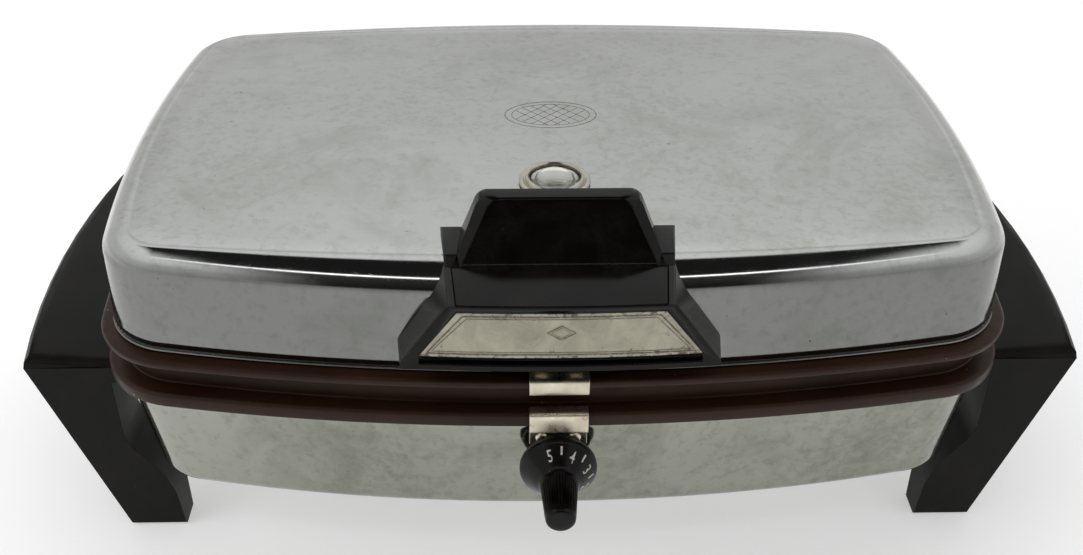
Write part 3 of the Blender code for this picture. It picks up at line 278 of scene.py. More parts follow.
def bakelite_paint(name, gloss, dull=0.0, pale=1.0):
    """Black phenolic: a soft sheen, faint moulding waves, dust and scuffs. dull adds roughness."""
    paint = Paint(name, Specular_IOR_Level=gloss)
    dust = paint.noise(60, 6, 0.7, 0.4)
    wear = paint.noise(18, 4, 0.6, 0.8)
    black = (0.004 * pale, 0.0035 * pale, 0.003 * pale)
    color = paint.mix(paint.ramp(dust, (0.45, 0), (0.75, 0.5)), black, (0.015, 0.013, 0.011))
    color = paint.mix(paint.ramp(wear, (0.60, 0), (0.75, 0.4)), color, (0.020, 0.017, 0.015))
    specks = paint.noise(700, 2, 0.5)
    color = paint.mix(paint.ramp(specks, (0.79, 0), (0.81, 0.6)), color, (0.16, 0.15, 0.13))
    rough = paint.ramp(paint.mean(wear, dust, 0.7),
                       (0.3, 0.14 + dull), (0.55, 0.22 + dull), (0.75, 0.34 + dull))
    scratch = paint.noise(80, 3, 0.7, 0.2, stretch=(2, 22, 22), turn=(0, 0, 0.6))
    lines = paint.ramp(scratch, (0.68, 0), (0.72, 1))
    rough = paint.math("ADD", rough, paint.math("MULTIPLY", lines, 0.10))
    normal = paint.bump(wear, 0.12 * MM, 0.3)
    normal = paint.bump(paint.noise(900, 2, 0.5), 0.015 * MM, 0.2, normal)
    return paint.finish(color, rough, normal)


def coating_paint():
    """Baked brown non-stick coating on a casting: fine orange peel, a cloudy tone, grease and small pale
    chips.
    """
    paint = Paint("brown_coating", Specular_IOR_Level=0.18)
    tone = paint.noise(22, 5, 0.6, 0.6)
    grease = paint.noise(70, 5, 0.7, 0.8)
    color = paint.mix(paint.ramp(tone, (0.35, 0), (0.7, 1)), (0.020, 0.007, 0.003), (0.034, 0.013, 0.006))
    color = paint.mix(paint.ramp(grease, (0.58, 0), (0.74, 0.7)), color, (0.012, 0.008, 0.006))
    chips = paint.noise(420, 2, 0.5)
    color = paint.mix(paint.ramp(chips, (0.77, 0), (0.79, 0.8)), color, (0.22, 0.17, 0.12))
    rough = paint.ramp(grease, (0.35, 0.30), (0.75, 0.52))
    normal = paint.bump(paint.noise(650, 3, 0.55), 0.05 * MM, 0.4)
    return paint.finish(color, rough, normal)


def nickel_paint(name, light, dull, dirt, rough_low=0.16, rough_high=0.42):
    """Warm nickel plate, brushed along its strip, with tarnish spots."""
    paint = Paint(name, Metallic=1.0)
    cloud = paint.noise(55, 5, 0.65, 0.8)
    spots = paint.noise(260, 4, 0.65, 0.6)
    color = paint.mix(paint.ramp(cloud, (0.35, 0), (0.68, 1)), light, dull)
    color = paint.mix(paint.ramp(spots, (0.60, 0), (0.72, 0.8)), color, dirt)
    brush = paint.noise(900, 3, 0.6, 0.0, stretch=(0.06, 1, 1))
    rough = paint.math("ADD", paint.ramp(cloud, (0.3, rough_low), (0.7, rough_high)),
                       paint.math("MULTIPLY", brush, 0.08))
    normal = paint.bump(brush, 0.02 * MM, 0.3)
    normal = paint.bump(cloud, 0.1 * MM, 0.2, normal)
    return paint.finish(color, rough, normal)


def plate_paint():
    """The blank name plate: aged silver foil, specked dark towards its edges."""
    low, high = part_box("nameplate")
    paint = Paint("aged_plate", Metallic=0.75)
    cloud = paint.noise(90, 6, 0.7, 0.8)
    specks = paint.noise(480, 4, 0.7, 0.5)
    split = paint.add("ShaderNodeSeparateXYZ")
    paint.plug(paint.coords(), split.inputs[0])
    rise = paint.math("DIVIDE", paint.math("SUBTRACT", split.outputs[2], (low.z + high.z) / 2),
                      (high.z - low.z) / 2)
    edge = paint.ramp(paint.math("ABSOLUTE", rise), (0.55, 0.0), (1.0, 0.16))
    reach = paint.math("DIVIDE", paint.math("ABSOLUTE", split.outputs[0]), high.x)
    edge = paint.math("ADD", edge, paint.ramp(reach, (0.6, 0.0), (1.0, 0.08)))
    color = paint.mix(paint.ramp(cloud, (0.35, 0), (0.7, 1)), (0.40, 0.38, 0.30), (0.30, 0.28, 0.215))
    color = paint.mix(paint.ramp(paint.math("ADD", specks, edge), (0.66, 0), (0.76, 0.85)), color,
                      (0.07, 0.05, 0.035))
    rough = paint.ramp(cloud, (0.3, 0.30), (0.7, 0.5))
    normal = paint.bump(specks, 0.03 * MM, 0.3)
    return paint.finish(color, rough, normal)


def plain_metal(name, light, dull, rough_low, rough_high, scale=60):
    """Cast, drawn or plated metal out of sight: cloudy tone, fine grain."""
    paint = Paint(name, Metallic=1.0)
    cloud = paint.noise(scale, 5, 0.65, 0.7)
    grain = paint.noise(scale * 14, 3, 0.6)
    color = paint.mix(paint.ramp(cloud, (0.35, 0), (0.7, 1)), light, dull)
    color = paint.mix(paint.ramp(grain, (0.62, 0), (0.75, 0.6)), color, tuple(c * 0.4 for c in dull))
    rough = paint.ramp(cloud, (0.3, rough_low), (0.7, rough_high))
    return paint.finish(color, rough, paint.bump(grain, 0.03 * MM, 0.35))


def ceramic_paint():
    paint = Paint("steatite")
    cloud = paint.noise(140, 5, 0.6)
    grain = paint.noise(1100, 3, 0.6)
    color = paint.mix(paint.ramp(cloud, (0.35, 0), (0.7, 1)), (0.66, 0.61, 0.52), (0.50, 0.45, 0.36))
    color = paint.mix(paint.ramp(grain, (0.64, 0), (0.74, 0.5)), color, (0.20, 0.17, 0.13))
    return paint.finish(color, paint.ramp(cloud, (0.3, 0.55), (0.7, 0.75)), paint.bump(grain, 0.04 * MM, 0.4))


def glass_paint(name, color, stain, rough_low, rough_high, transmission):
    paint = Paint(name, Transmission_Weight=transmission, IOR=1.5)
    cloud = paint.noise(160, 4, 0.6, 0.6)
    tone = paint.mix(paint.ramp(cloud, (0.4, 0), (0.75, 1)), color, stain)
    rough = paint.ramp(cloud, (0.35, rough_low), (0.7, rough_high))
    return paint.finish(tone, rough, paint.bump(cloud, 0.05 * MM, 0.3))


def mark_paint(name, color, worn):
    """Printed or filled marks, slightly rubbed."""
    paint = Paint(name)
    rub = paint.noise(900, 4, 0.65)
    tone = paint.mix(paint.ramp(rub, (0.48, 0), (0.66, 1)), color, worn)
    return paint.finish(tone, paint.ramp(rub, (0.3, 0.4), (0.7, 0.6)), paint.bump(rub, 0.01 * MM, 0.3))


def floor_paint():
    paint = Paint("pale_table", Emission_Color=(1, 1, 1, 1), Emission_Strength=0.42)
    cloud = paint.noise(3, 3, 0.5)
    color = paint.mix(paint.ramp(cloud, (0.3, 0), (0.7, 1)), (0.66, 0.66, 0.66), (0.64, 0.64, 0.645))
    return paint.finish(color, paint.ramp(cloud, (0.3, 0.6), (0.7, 0.7)), None)


# ---------------------------------------------------------------- mesh helpers

def add_piece(name, bm, body, slot, material, *replaced, sharp=40):
    """A new piece from a bmesh in the row frame, riding on a CAD body."""
    bmesh.ops.recalc_face_normals(bm, faces=bm.faces[:])
    mesh = bpy.data.meshes.new(name)
    bm.to_mesh(mesh)
    bm.free()
    mesh.shade_smooth()
    mesh.set_sharp_from_angle(angle=math.radians(sharp))
    obj = bpy.data.objects.new(name, mesh)
    scene.collection.objects.link(obj)
    mesh.materials.append(material)
    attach(obj, body)
    if replaced:
        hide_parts(*replaced)
    return obj


def keep(name, material, width=0.0, segments=2, angle=30):
    """Keeps a CAD node, with a better finish and softly broken edges."""
    obj = nodes[name]
    obj.data.materials.clear()
    obj.data.materials.append(material)
    obj.data.shade_smooth()
    weld = obj.modifiers.new("weld", "WELD")
    weld.merge_threshold = 0.004 * MM
    if width:
        bevel = obj.modifiers.new("bevel", "BEVEL")
        bevel.width = width
        bevel.segments = segments
        bevel.limit_method = "ANGLE"
        bevel.angle_limit = math.radians(angle)
        bevel.harden_normals = False
        bevel.use_clamp_overlap = True
    normal = obj.modifiers.new("normals", "WEIGHTED_NORMAL")
    normal.keep_sharp = False
    return obj


def skin(bm, rings, closed=True, cap_start=False, cap_end=False):
    """Quads between successive rings of equally many points."""
    levels = [[bm.verts.new(p) for p in ring] for ring in rings]
    count = len(levels[0])
    last = count if closed else count - 1
    for low, high in zip(levels, levels[1:]):
        for i in range(last):
            j = (i + 1) % count
            bm.faces.new((low[i], low[j], high[j], high[i]))
    if cap_start:
        bm.faces.new(levels[0])
    if cap_end:
        bm.faces.new(levels[-1])
    return levels


def turn(bm, profile, place, axis, sides=48):
    """A solid or open surface of revolution: profile is (radius, distance along axis)."""
    axis = Vector(axis).normalized()
    across = axis.orthogonal().normalized()
    other = axis.cross(across)
    rings = []
    for radius, rise in profile:
        rings.append([Vector(place) + axis * rise
                      + radius * (across * math.cos(a) + other * math.sin(a))
                      for a in (math.tau * i / sides for i in range(sides))])
    return skin(bm, rings)


def arc(centre, radius, start, end, steps):
    return [centre + radius * Vector((math.cos(a), math.sin(a)))
            for a in (start + (end - start) * i / steps for i in range(steps + 1))]


def outline(inset_x, inset_y=None, bow=FRONT_BOW, side_steps=10, corner_steps=14, front_steps=18):
    """The shells' plan outline, set in by the insets, anticlockwise from +X."""
    inset_y = inset_x if inset_y is None else inset_y
    half_x = HALF_WIDTH - inset_x
    half_y = HALF_DEPTH - inset_y
    corner = max(CORNER_RADIUS - (inset_x + inset_y) / 2, 4 * MM)
    long_radius = (half_x ** 2 + bow ** 2) / (2 * bow)
    short_radius = (half_y ** 2 + SIDE_BOW ** 2) / (2 * SIDE_BOW)
    long_centre = Vector((0, half_y - long_radius))
    short_centre = Vector((half_x - short_radius, 0))
    between = short_centre - long_centre
    near = long_radius - corner
    far = short_radius - corner
    along = (near ** 2 - far ** 2 + between.length_squared) / (2 * between.length)
    aside = math.sqrt(max(near ** 2 - along ** 2, 0))
    unit = between.normalized()
    foot = long_centre + along * unit
    centre = max((foot + aside * Vector((-unit.y, unit.x)), foot - aside * Vector((-unit.y, unit.x))),
                 key=lambda point: point.x + point.y)
    side_end = math.atan2(*(centre - short_centre).yx)
    front_start = math.atan2(*(centre - long_centre).yx)
    quarter = arc(short_centre, short_radius, 0, side_end, side_steps)
    quarter += arc(centre, corner, side_end, front_start, corner_steps)[1:]
    quarter += arc(long_centre, long_radius, front_start, math.pi / 2, front_steps)[1:]
    half = quarter + [Vector((-p.x, p.y)) for p in reversed(quarter[:-1])]
    return half + [Vector((p.x, -p.y)) for p in reversed(half[1:-1])]


def ring(z, inset_x, inset_y=None, bow=FRONT_BOW):
    return [(p.x, p.y + MIDDLE_Y, z) for p in outline(inset_x, inset_y, bow)]


# ---------------------------------------------------------------- shells

LID_BOTTOM_Z = SHELL_LOW.z
LID_TOP_Z = SHELL_HIGH.z
SHOULDER_Z = 141 * MM
WALL_INSET = 1.7 * MM
SIDE_SHOULDER = 9 * MM
FRONT_SHOULDER = 13 * MM
PANEL_BOW = 10.5 * MM        # the top panel's front edge is straighter than the wall
PAN_WALL_INSET = 5.75 * MM
PAN_EDGE_RADIUS = 7 * MM


def lid_skin(material):
    """The lid: a rolled hem, a drafted wall, a rounded shoulder, and a panel set off by a fine crease."""
    z0 = LID_BOTTOM_Z
    hem = 0.55 * MM
    rings = [ring(z0 + 8 * MM, 1.9 * MM), ring(z0 + hem, 1.3 * MM)]
    for degrees in range(-120, 91, 30):
        a = math.radians(degrees)
        rings.append(ring(z0 + hem + hem * math.sin(a), hem - hem * math.cos(a)))
    foot = z0 + 1.3 * MM
    wall = 0.3 * MM
    for i in range(9):
        t = i / 8
        rings.append(ring(foot + (SHOULDER_Z - foot) * t, wall + (WALL_INSET - wall) * t))
    notch = z0 + 2.7 * MM
    rings = [[(x, y, max(z, notch)) if abs(x) < 18 * MM and y < 0 else (x, y, z) for x, y, z in level]
             for level in rings]
    rise = LID_TOP_Z - SHOULDER_Z - 0.3 * MM
    lean = math.radians(2.3)
    for i in range(1, 25):
        a = lean + (math.radians(86) - lean) * i / 24
        run = (math.cos(lean) - math.cos(a)) / math.cos(lean)
        height = (math.sin(a) - math.sin(lean)) / (1 - math.sin(lean))
        rings.append(ring(SHOULDER_Z + rise * height, WALL_INSET + SIDE_SHOULDER * run,
                          WALL_INSET + FRONT_SHOULDER * run, FRONT_BOW + (PANEL_BOW - FRONT_BOW) * run))
    edge_x = WALL_INSET + SIDE_SHOULDER
    edge_y = WALL_INSET + FRONT_SHOULDER
    z = SHOULDER_Z + rise
    for drop, inset in ((0.16, 0.15), (0.30, 0.5), (0.16, 0.85)):
        rings.append(ring(z - drop * MM, edge_x + inset * MM, edge_y + inset * MM, PANEL_BOW))
    base = rings[-1]
    for i in range(1, 15):
        s = 1 - i / 15
        top = z + (LID_TOP_Z - z) * (1 - s ** 2) - 0.16 * MM * s ** 2
        rings.append([(x * s, MIDDLE_Y + (y - MIDDLE_Y) * s, top) for x, y, _ in base])
    bm = bmesh.new()
    skin(bm, rings, cap_end=True)
    return add_piece("lid_shell_skin", bm, "lid", "chrome", material, "upper_shell", sharp=60)


def pan_skin(material):
    """The pan: a drafted wall, a rounded bottom edge and a turned-in flange."""
    low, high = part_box("lower_shell")
    brim, brim_z = 0.2 * MM, high.z - 0.4 * MM
    rings = [ring(high.z - 9 * MM, 2.3 * MM), ring(brim_z, 1.3 * MM), ring(high.z, MM),
             ring(high.z, 0.5 * MM), ring(brim_z, brim)]
    bend_z = low.z + PAN_EDGE_RADIUS
    for i in range(1, 9):
        t = i / 8
        rings.append(ring(brim_z + (bend_z - brim_z) * t, brim + (PAN_WALL_INSET - brim) * t))
    for i in range(1, 13):
        a = math.pi / 2 * i / 12
        inset = PAN_WALL_INSET + PAN_EDGE_RADIUS * (1 - math.cos(a))
        rings.append(ring(bend_z - PAN_EDGE_RADIUS * math.sin(a), inset))
    rings.append(ring(low.z, 27 * MM))
    rings.append(ring(low.z, 42 * MM))
    rings.append(ring(low.z + MM, 42 * MM))
    bm = bmesh.new()
    skin(bm, rings)
    return add_piece("pan_shell_skin", bm, "base", "chrome", material, "lower_shell", sharp=60)


# ---------------------------------------------------------------- grids

def stump(bm, x, y, z, facing):
    """One bevelled stud of the waffle grid; z is the grid's floor."""
    base, top, height, under = 6.75 * MM, 5.0 * MM, 10.4 * MM, 0.4 * MM
    levels = [(base + 0.1 * MM, -under), (base - 0.15 * MM, 0.6 * MM), (top + 0.25 * MM, height - 0.9 * MM),
              (top - 0.15 * MM, height - 0.25 * MM), (top - 0.9 * MM, height)]
    rings = []
    for half, rise in levels:
        cut = 0.9 * MM
        corner = [(half, half - cut), (half - cut, half), (cut - half, half), (-half, half - cut),
                  (-half, cut - half), (cut - half, -half), (half - cut, -half), (half, cut - half)]
        rings.append([(x + a, y + b, z + facing * rise) for a, b in corner])
    skin(bm, rings, cap_end=True)


# Sections of the rims in millimetres: inset from the shells' outline, and depth from the parting plane
UPPER_RIM = [(2.5, 7.3), (-2.7, 7.3), (-3.5, 7.1), (-4.05, 6.65), (-4.3, 6.0), (-4.3, 4.5), (-4.1, 4.1),
             (-3.6, 3.9), (1.9, 3.9), (2.3, 3.5)]
LOWER_RIM = [(2.5, 13.35), (-3.7, 13.35), (-4.15, 13.1), (-4.3, 12.6), (-4.3, 9.2), (-4.15, 8.5),
             (-3.75, 7.95), (-3.1, 7.6), (1.9, 7.6), (2.3, 7.2)]


def grid_skin(name, facing, rim, material):
    """A cast grid: moulded rim, raised land, floor, studs and the cross that parts the four waffles."""
    steps = [(30, 16.5), (8, 16.5), (5, 14)] + rim
    steps += [(3.0, 0.6), (3.3, 0.3), (6.2, 0.3), (6.6, 0.6), (8.6, 12.2), (9.4, 12.9), (10.4, 13.0)]
    rings = [ring(PARTING_Z - facing * depth * MM, inset * MM) for inset, depth in steps]
    bm = bmesh.new()
    skin(bm, rings, cap_start=True, cap_end=True)
    floor = PARTING_Z - facing * 13 * MM
    half, arm_x, arm_y = 1.5 * MM, 146 * MM, 80 * MM
    columns, rows = 7, 4
    pitch_x, pitch_y = (arm_x - half) / columns, (arm_y - half) / rows
    for side in (-1, 1):
        for front in (-1, 1):
            for i in range(columns):
                for j in range(rows):
                    stump(bm, side * (half + (i + 0.5) * pitch_x),
                          MIDDLE_Y + front * (half + (j + 0.5) * pitch_y), floor, facing)
    for long_x, long_y in ((arm_x, half), (half, arm_y)):
        levels = [(0.5, -0.4), (0.3, 0.6), (0, 11.2), (-0.35, 11.8), (-0.9, 12.0)]
        rings = []
        for grow, rise in levels:
            x, y = long_x + grow * MM, long_y + grow * MM
            rings.append([(a, MIDDLE_Y + b, floor + facing * rise * MM)
                          for a, b in ((x, y), (-x, y), (-x, -y), (x, -y))])
        skin(bm, rings, cap_end=True)
    body = "base" if facing > 0 else "lid"
    return add_piece(name, bm, body, "brown_coating", material, "lower_grid" if facing > 0 else "upper_grid",
                     sharp=38)


# ---------------------------------------------------------------- lid handle

LIP_Z = 169.6 * MM
LEDGE_Z = 149.6 * MM
HANDLE_FRONT_Y = -125.5 * MM
HANDLE_BOW = 3.2 * MM


UPSTAND_FOOT_Z = 144 * MM
# Places and half-widths of the lip in millimetres, each at its foot and at its top
UPSTAND_BACK, UPSTAND_FRONT = (-81, -84.8), (-106.2, -91.4)
UPSTAND_HALF_BACK, UPSTAND_HALF_FRONT = (36.5, 27), (38, 26.6)


def upstand_level(z, side_cut, edge_cut):
    """One level of the raised lip: back and front places and half-widths."""
    t = (z - UPSTAND_FOOT_Z) / (LIP_Z - UPSTAND_FOOT_Z)
    back, front, half_back, half_front = ((foot + (top - foot) * t) * MM for foot, top in (
        UPSTAND_BACK, UPSTAND_FRONT, UPSTAND_HALF_BACK, UPSTAND_HALF_FRONT))
    return (MIDDLE_Y + back - edge_cut, MIDDLE_Y + front + edge_cut,
            half_back - side_cut, half_front - side_cut)


def rounding(past, radius):
    """How far a rounded corner has drawn in, at a distance past the start of its curve."""
    past = min(max(past, 0), radius)
    return radius - math.sqrt(radius ** 2 - past ** 2)


def upstand(bm):
    """The lip over the ledge: rounded upper corners, and a front sunk between two canted side frames."""
    sunk, corner, fillet, soft = 0.5 * MM, 2.6 * MM, 1.3 * MM, 0.4 * MM
    sunk_top = LIP_Z - 0.6 * MM
    top, edge = 3.4 * MM, 0.7 * MM
    heights = [LEDGE_Z - 5 * MM, LEDGE_Z]
    heights += [LEDGE_Z + fillet * (1 - math.cos(math.radians(a))) for a in (15, 30, 45, 60, 75, 90)]
    heights += [LEDGE_Z + (4 + 2.6 * i) * MM for i in range(5)]
    heights += [sunk_top - corner * (1 - math.sin(math.radians(a))) for a in range(0, 90, 15)]
    heights += [sunk_top, sunk_top + 0.02 * MM]
    heights += [LIP_Z - edge * (1 - math.sin(math.radians(a))) for a in (30, 50, 70, 90)]
    rings = []
    for z in heights:
        back, front, half_back, half_front = upstand_level(z, rounding(z - (LIP_Z - top), top),
                                                           rounding(z - (LIP_Z - edge), edge))
        rise = z - LEDGE_Z
        depth = sunk if z <= sunk_top else 0.0
        if rise >= 0:
            depth -= rounding(fillet - rise, fillet)
        cant = (2.2 + 1.4 * max(rise, 0) / (LIP_Z - LEDGE_Z)) * MM
        inner = half_front - cant - rounding(z - (sunk_top - corner), corner)
        row = [(half_back - soft, back), (half_back, back - soft), (half_front, front + 2.3 * MM),
               (half_front - cant, front), (inner - 0.02 * MM, front), (inner - 0.3 * MM, front + depth),
               (inner - 0.7 * MM, front + depth)]
        row += [(inner * k / 4, front + depth) for k in (3, 2, 1, 0)]
        row += [(-x, y) for x, y in reversed(row[:-1])]
        rings.append([(x, y, z) for x, y in row])
    skin(bm, rings, cap_end=True)


def ledge_border(bm, side):
    """A low raised border along one side of the ledge, running on from the lip's frame."""
    front_y, front_half, back_y, back_half = -127, 35.8, -75, 41.3
    width, height = 1.9 * MM, 0.45 * MM
    rings = []
    for i in range(9):
        y = -103.2 - 21.9 * i / 8
        outer = (front_half + (y - front_y) / (back_y - front_y) * (back_half - front_half) - 0.05) * MM
        row = [(outer, -0.5 * MM), (outer, height * 0.5), (outer - 0.3 * MM, height), (outer - width, height),
               (outer - width - 0.5 * MM, height * 0.3), (outer - width - 0.7 * MM, -0.5 * MM)]
        rings.append([(side * x, MIDDLE_Y + y * MM, LEDGE_Z + z) for x, z in row])
    skin(bm, rings, cap_start=True, cap_end=True)


def lid_handle_skin(material):
    """The moulded handle: the solid's own block, with a finer lip on top."""
    bm = bmesh.new()
    bm.from_mesh(nodes["lid_handle"].data)
    bmesh.ops.transform(bm, matrix=nodes["lid_handle"].matrix_world, verts=bm.verts)
    bmesh.ops.remove_doubles(bm, verts=bm.verts, dist=0.01 * MM)
    flange_z, seat_z = 153 * MM, 149 * MM
    old_lip = [face for face in bm.faces if max(v.co.z for v in face.verts) > flange_z]
    bmesh.ops.delete(bm, geom=old_lip, context="FACES")
    bmesh.ops.dissolve_limit(bm, angle_limit=math.radians(1.5), verts=bm.verts, edges=bm.edges)

    def shows(face):
        """False for the underside and for the seat that lies against the lid."""
        seat = face.normal.y > 0.3 and face.calc_center_median().z < seat_z
        return face.normal.z > -0.3 and not seat

    edges = [edge for edge in bm.edges if len(edge.link_faces) == 2 and edge.calc_face_angle() > 0.4
             and edge.calc_length() > 1.6 * MM and all(shows(face) for face in edge.link_faces)]
    bmesh.ops.bevel(bm, geom=edges, offset=0.6 * MM, segments=3, profile=0.5, affect="EDGES",
                    clamp_overlap=False)
    upstand(bm)
    for side in (-1, 1):
        ledge_border(bm, side)
    return add_piece("lid_handle_moulding", bm, "lid", "black_bakelite", material, "lid_handle", sharp=32)


def ribbon(bm, points, width, normal, lift):
    """A flat line of small width through points, lifted off the surface along normal."""
    normal = Vector(normal)
    left, right = [], []
    for i, point in enumerate(points):
        before, after = Vector(points[max(i - 1, 0)]), Vector(points[min(i + 1, len(points) - 1)])
        if points[0] == points[-1] and i in (0, len(points) - 1):
            before, after = Vector(points[-2]), Vector(points[1])
        across = normal.cross((after - before).normalized()).normalized() * width / 2
        left.append(bm.verts.new(Vector(point) + across + normal * lift))
        right.append(bm.verts.new(Vector(point) - across + normal * lift))
    for i in range(len(points) - 1):
        bm.faces.new((left[i], right[i], right[i + 1], left[i + 1]))


def label_lines(material):
    """A fine printed border and a plain lozenge on the blank name plate."""
    def place(x, z):
        return (x * MM, MIDDLE_Y + HANDLE_FRONT_Y - 0.03 * MM + HANDLE_BOW * (x / 60) ** 2, z * MM)

    def across(z, half):
        return [place(half * i / 8, z) for i in range(-8, 9)]

    bm = bmesh.new()
    facing, lift = (0, -1, 0), 0.06 * MM
    for inset, width in ((1.3, 0.42), (2.2, 0.2)):
        top, bottom = 33.6 - inset * 1.35, 46.6 - inset * 1.9
        high, low = 146.8 - inset, 129 + inset
        ribbon(bm, across(high, top), width * MM, facing, lift)
        ribbon(bm, across(low, bottom), width * MM, facing, lift)
        for side in (-1, 1):
            ribbon(bm, [place(side * (bottom + (top - bottom) * i / 6), low + (high - low) * i / 6)
                        for i in range(7)], width * MM, facing, lift)
    middle, squat = 139.2, 0.62
    corners = [(1, 0), (0, 1), (-1, 0), (0, -1), (1, 0)]
    for reach, width in ((4.6, 0.42), (3.3, 0.2)):
        lozenge = [place(reach * x, middle + reach * squat * z) for x, z in corners]
        ribbon(bm, lozenge, width * MM, facing, lift)
    return add_piece("label_border", bm, "lid", "nickel", material)


def lid_ornament(material):
    """Two fine engraved ellipses with a plain lattice between them, on the lid's panel."""
    centre = Vector((0, MIDDLE_Y + 6.5 * MM, LID_TOP_Z - 0.01 * MM))

    def oval(a, b):
        return [tuple(centre + Vector((a * math.cos(t), b * math.sin(t), 0)) * MM)
                for t in (math.tau * i / 72 for i in range(73))]

    bm = bmesh.new()
    up, lift = (0, 0, 1), 0.03 * MM
    inner_a, inner_b = 15.8, 9.2
    spacing, step = 5.2, 0.3
    ribbon(bm, oval(18.5, 11.5), 0.42 * MM, up, lift)
    ribbon(bm, oval(inner_a, inner_b), 0.3 * MM, up, lift)
    for k in (-2, -1, 0, 1, 2):
        for lean in (-1, 1):
            line = []
            for i in range(-40, 41):
                x = k * spacing + lean * i * step
                y = i * step
                if (x / inner_a) ** 2 + (y / inner_b) ** 2 < 0.985:
                    line.append(tuple(centre + Vector((x, y, 0)) * MM))
            if len(line) > 3:
                ribbon(bm, line, 0.3 * MM, up, lift)
    return add_piece("lid_ornament", bm, "lid", "chrome", material)


# ---------------------------------------------------------------- heat control

KNOB_PLACE = Vector((0, MIDDLE_Y - 113.2 * MM, 72 * MM))
GRIP_FOOT, GRIP_RADIUS, GRIP_TAPER = 12.4, 6.75, 1.35 / 16.3
# Section of the skirt in millimetres: radius, and distance out from the knob's back
SKIRT = [(12.6, 0), (12.8, 1.8), (13.6, 2.1), (13.9, 2.5), (13.9, 4.2), (13.65, 4.8), (13.1, 5.3),
         (10.6, 8.2), (8.1, 10.6), (7.2, 11.4), (GRIP_RADIUS, GRIP_FOOT)]


def knob_skin(material):
    """The knob: a coned skirt and a tapered grip, finely fluted almost to its end."""
    bm = bmesh.new()
    profile = [(3.1, 0)] + SKIRT
    profile += [(GRIP_RADIUS - GRIP_TAPER * (h - GRIP_FOOT), h)
                for h in (13.2, 13.8, 14.4, 15.0, 16, 18, 21, 24, 26, 27.2, 27.9)]
    profile += [(5.35, 28.7), (5.15, 29.4), (4.7, 29.9), (4.1, 30.15), (2, 30.2), (0.01, 30.2)]
    sides, flutes, flute_depth = 216, 36, 0.34
    rings = []
    for radius, height in profile:
        bite = min(max((height - 13.4) / 1.2, 0), 1) * min(max((28.2 - height) / 1.0, 0), 1)
        level = []
        for i in range(sides):
            angle = math.tau * i / sides
            r = (radius - flute_depth * bite * max(math.cos(flutes * angle), 0)) * MM
            level.append(KNOB_PLACE + Vector((r * math.cos(angle), -height * MM, r * math.sin(angle))))
        rings.append(level)
    skin(bm, rings, cap_end=True)
    return add_piece("heat_knob", bm, "knob", "black_bakelite", material, "control_knob", sharp=45)


def skirt_rise(radius):
    """How far the skirt stands out at a radius."""
    for (r0, h0), (r1, h1) in zip(SKIRT, SKIRT[1:]):
        if r1 <= radius <= r0:
            return h0 + (h1 - h0) * (r0 - radius) / max(r0 - r1, 1e-6)
    return SKIRT[-1][1]


def on_skirt(radius, angle):
    """A place on the skirt; the angle runs clockwise from the top, as seen from the front."""
    out = skirt_rise(radius) + 0.05
    return KNOB_PLACE + Vector((radius * math.sin(angle), -out, radius * math.cos(angle))) * MM


def dial_marks(material):
    """The settings 1 to 5 and the ticks between them, filled in silver."""
    bm = bmesh.new()
    numeral_foot, numeral_arc = 9.1, 10.6
    for number, turn_angle in ((5, -18), (4, 27), (3, 72), (2, 117), (1, 162)):
        font = bpy.data.curves.new("numeral", "FONT")
        font.body = str(number)
        font.size = 4.3
        font.align_x = "CENTER"
        font.resolution_u = 3
        font.offset = 0.02
        holder = bpy.data.objects.new("numeral", font)
        scene.collection.objects.link(holder)
        bpy.context.view_layer.update()
        drawn = bpy.data.meshes.new_from_object(holder.evaluated_get(bpy.context.evaluated_depsgraph_get()))
        bpy.data.objects.remove(holder)
        bpy.data.curves.remove(font)
        middle = math.radians(turn_angle)
        placed = [bm.verts.new(on_skirt(numeral_foot + v.co.y, middle + v.co.x / numeral_arc))
                  for v in drawn.vertices]
        for polygon in drawn.polygons:
            bm.faces.new([placed[i] for i in polygon.vertices])
        bpy.data.meshes.remove(drawn)
    for degrees in (4.5, 49.5, 94.5, 139.5):
        angle = math.radians(degrees)
        corners = [(12.6, -0.03), (12.6, 0.03), (10.6, 0.03), (10.6, -0.03)]
        bm.faces.new([bm.verts.new(on_skirt(r, angle + a)) for r, a in corners])
    return add_piece("dial_marks", bm, "knob", "black_bakelite", material)


# ---------------------------------------------------------------- clips, rivets and lamp

# Middle lines of the bent strips in millimetres: place along Y from the shells' middle, and height
LOWER_CLIP_PATH = [(-110.9, 78.6), (-110.9, 85.4), (-111.6, 86.9), (-116.2, 88.4), (-117.0, 89.6),
                   (-117.0, 96.0), (-116.1, 97.0), (-113.6, 97.1), (-112.8, 97.1)]
UPPER_CLIP_PATH = [(-108.2, 120.2), (-108.2, 113.4), (-109.6, 112.0), (-115.8, 111.9), (-116.7, 111.0),
                   (-116.7, 106.4), (-115.9, 105.6), (-114.0, 105.6), (-113.2, 106.0)]


def soften(path, rounds=3):
    """Rounds the corners of an open path by cutting them back again and again."""
    for _ in range(rounds):
        cut = [path[0]]
        for (a, b), (c, d) in zip(path, path[1:]):
            cut += [(a * 0.75 + c * 0.25, b * 0.75 + d * 0.25), (a * 0.25 + c * 0.75, b * 0.25 + d * 0.75)]
        path = cut + [path[-1]]
    return path


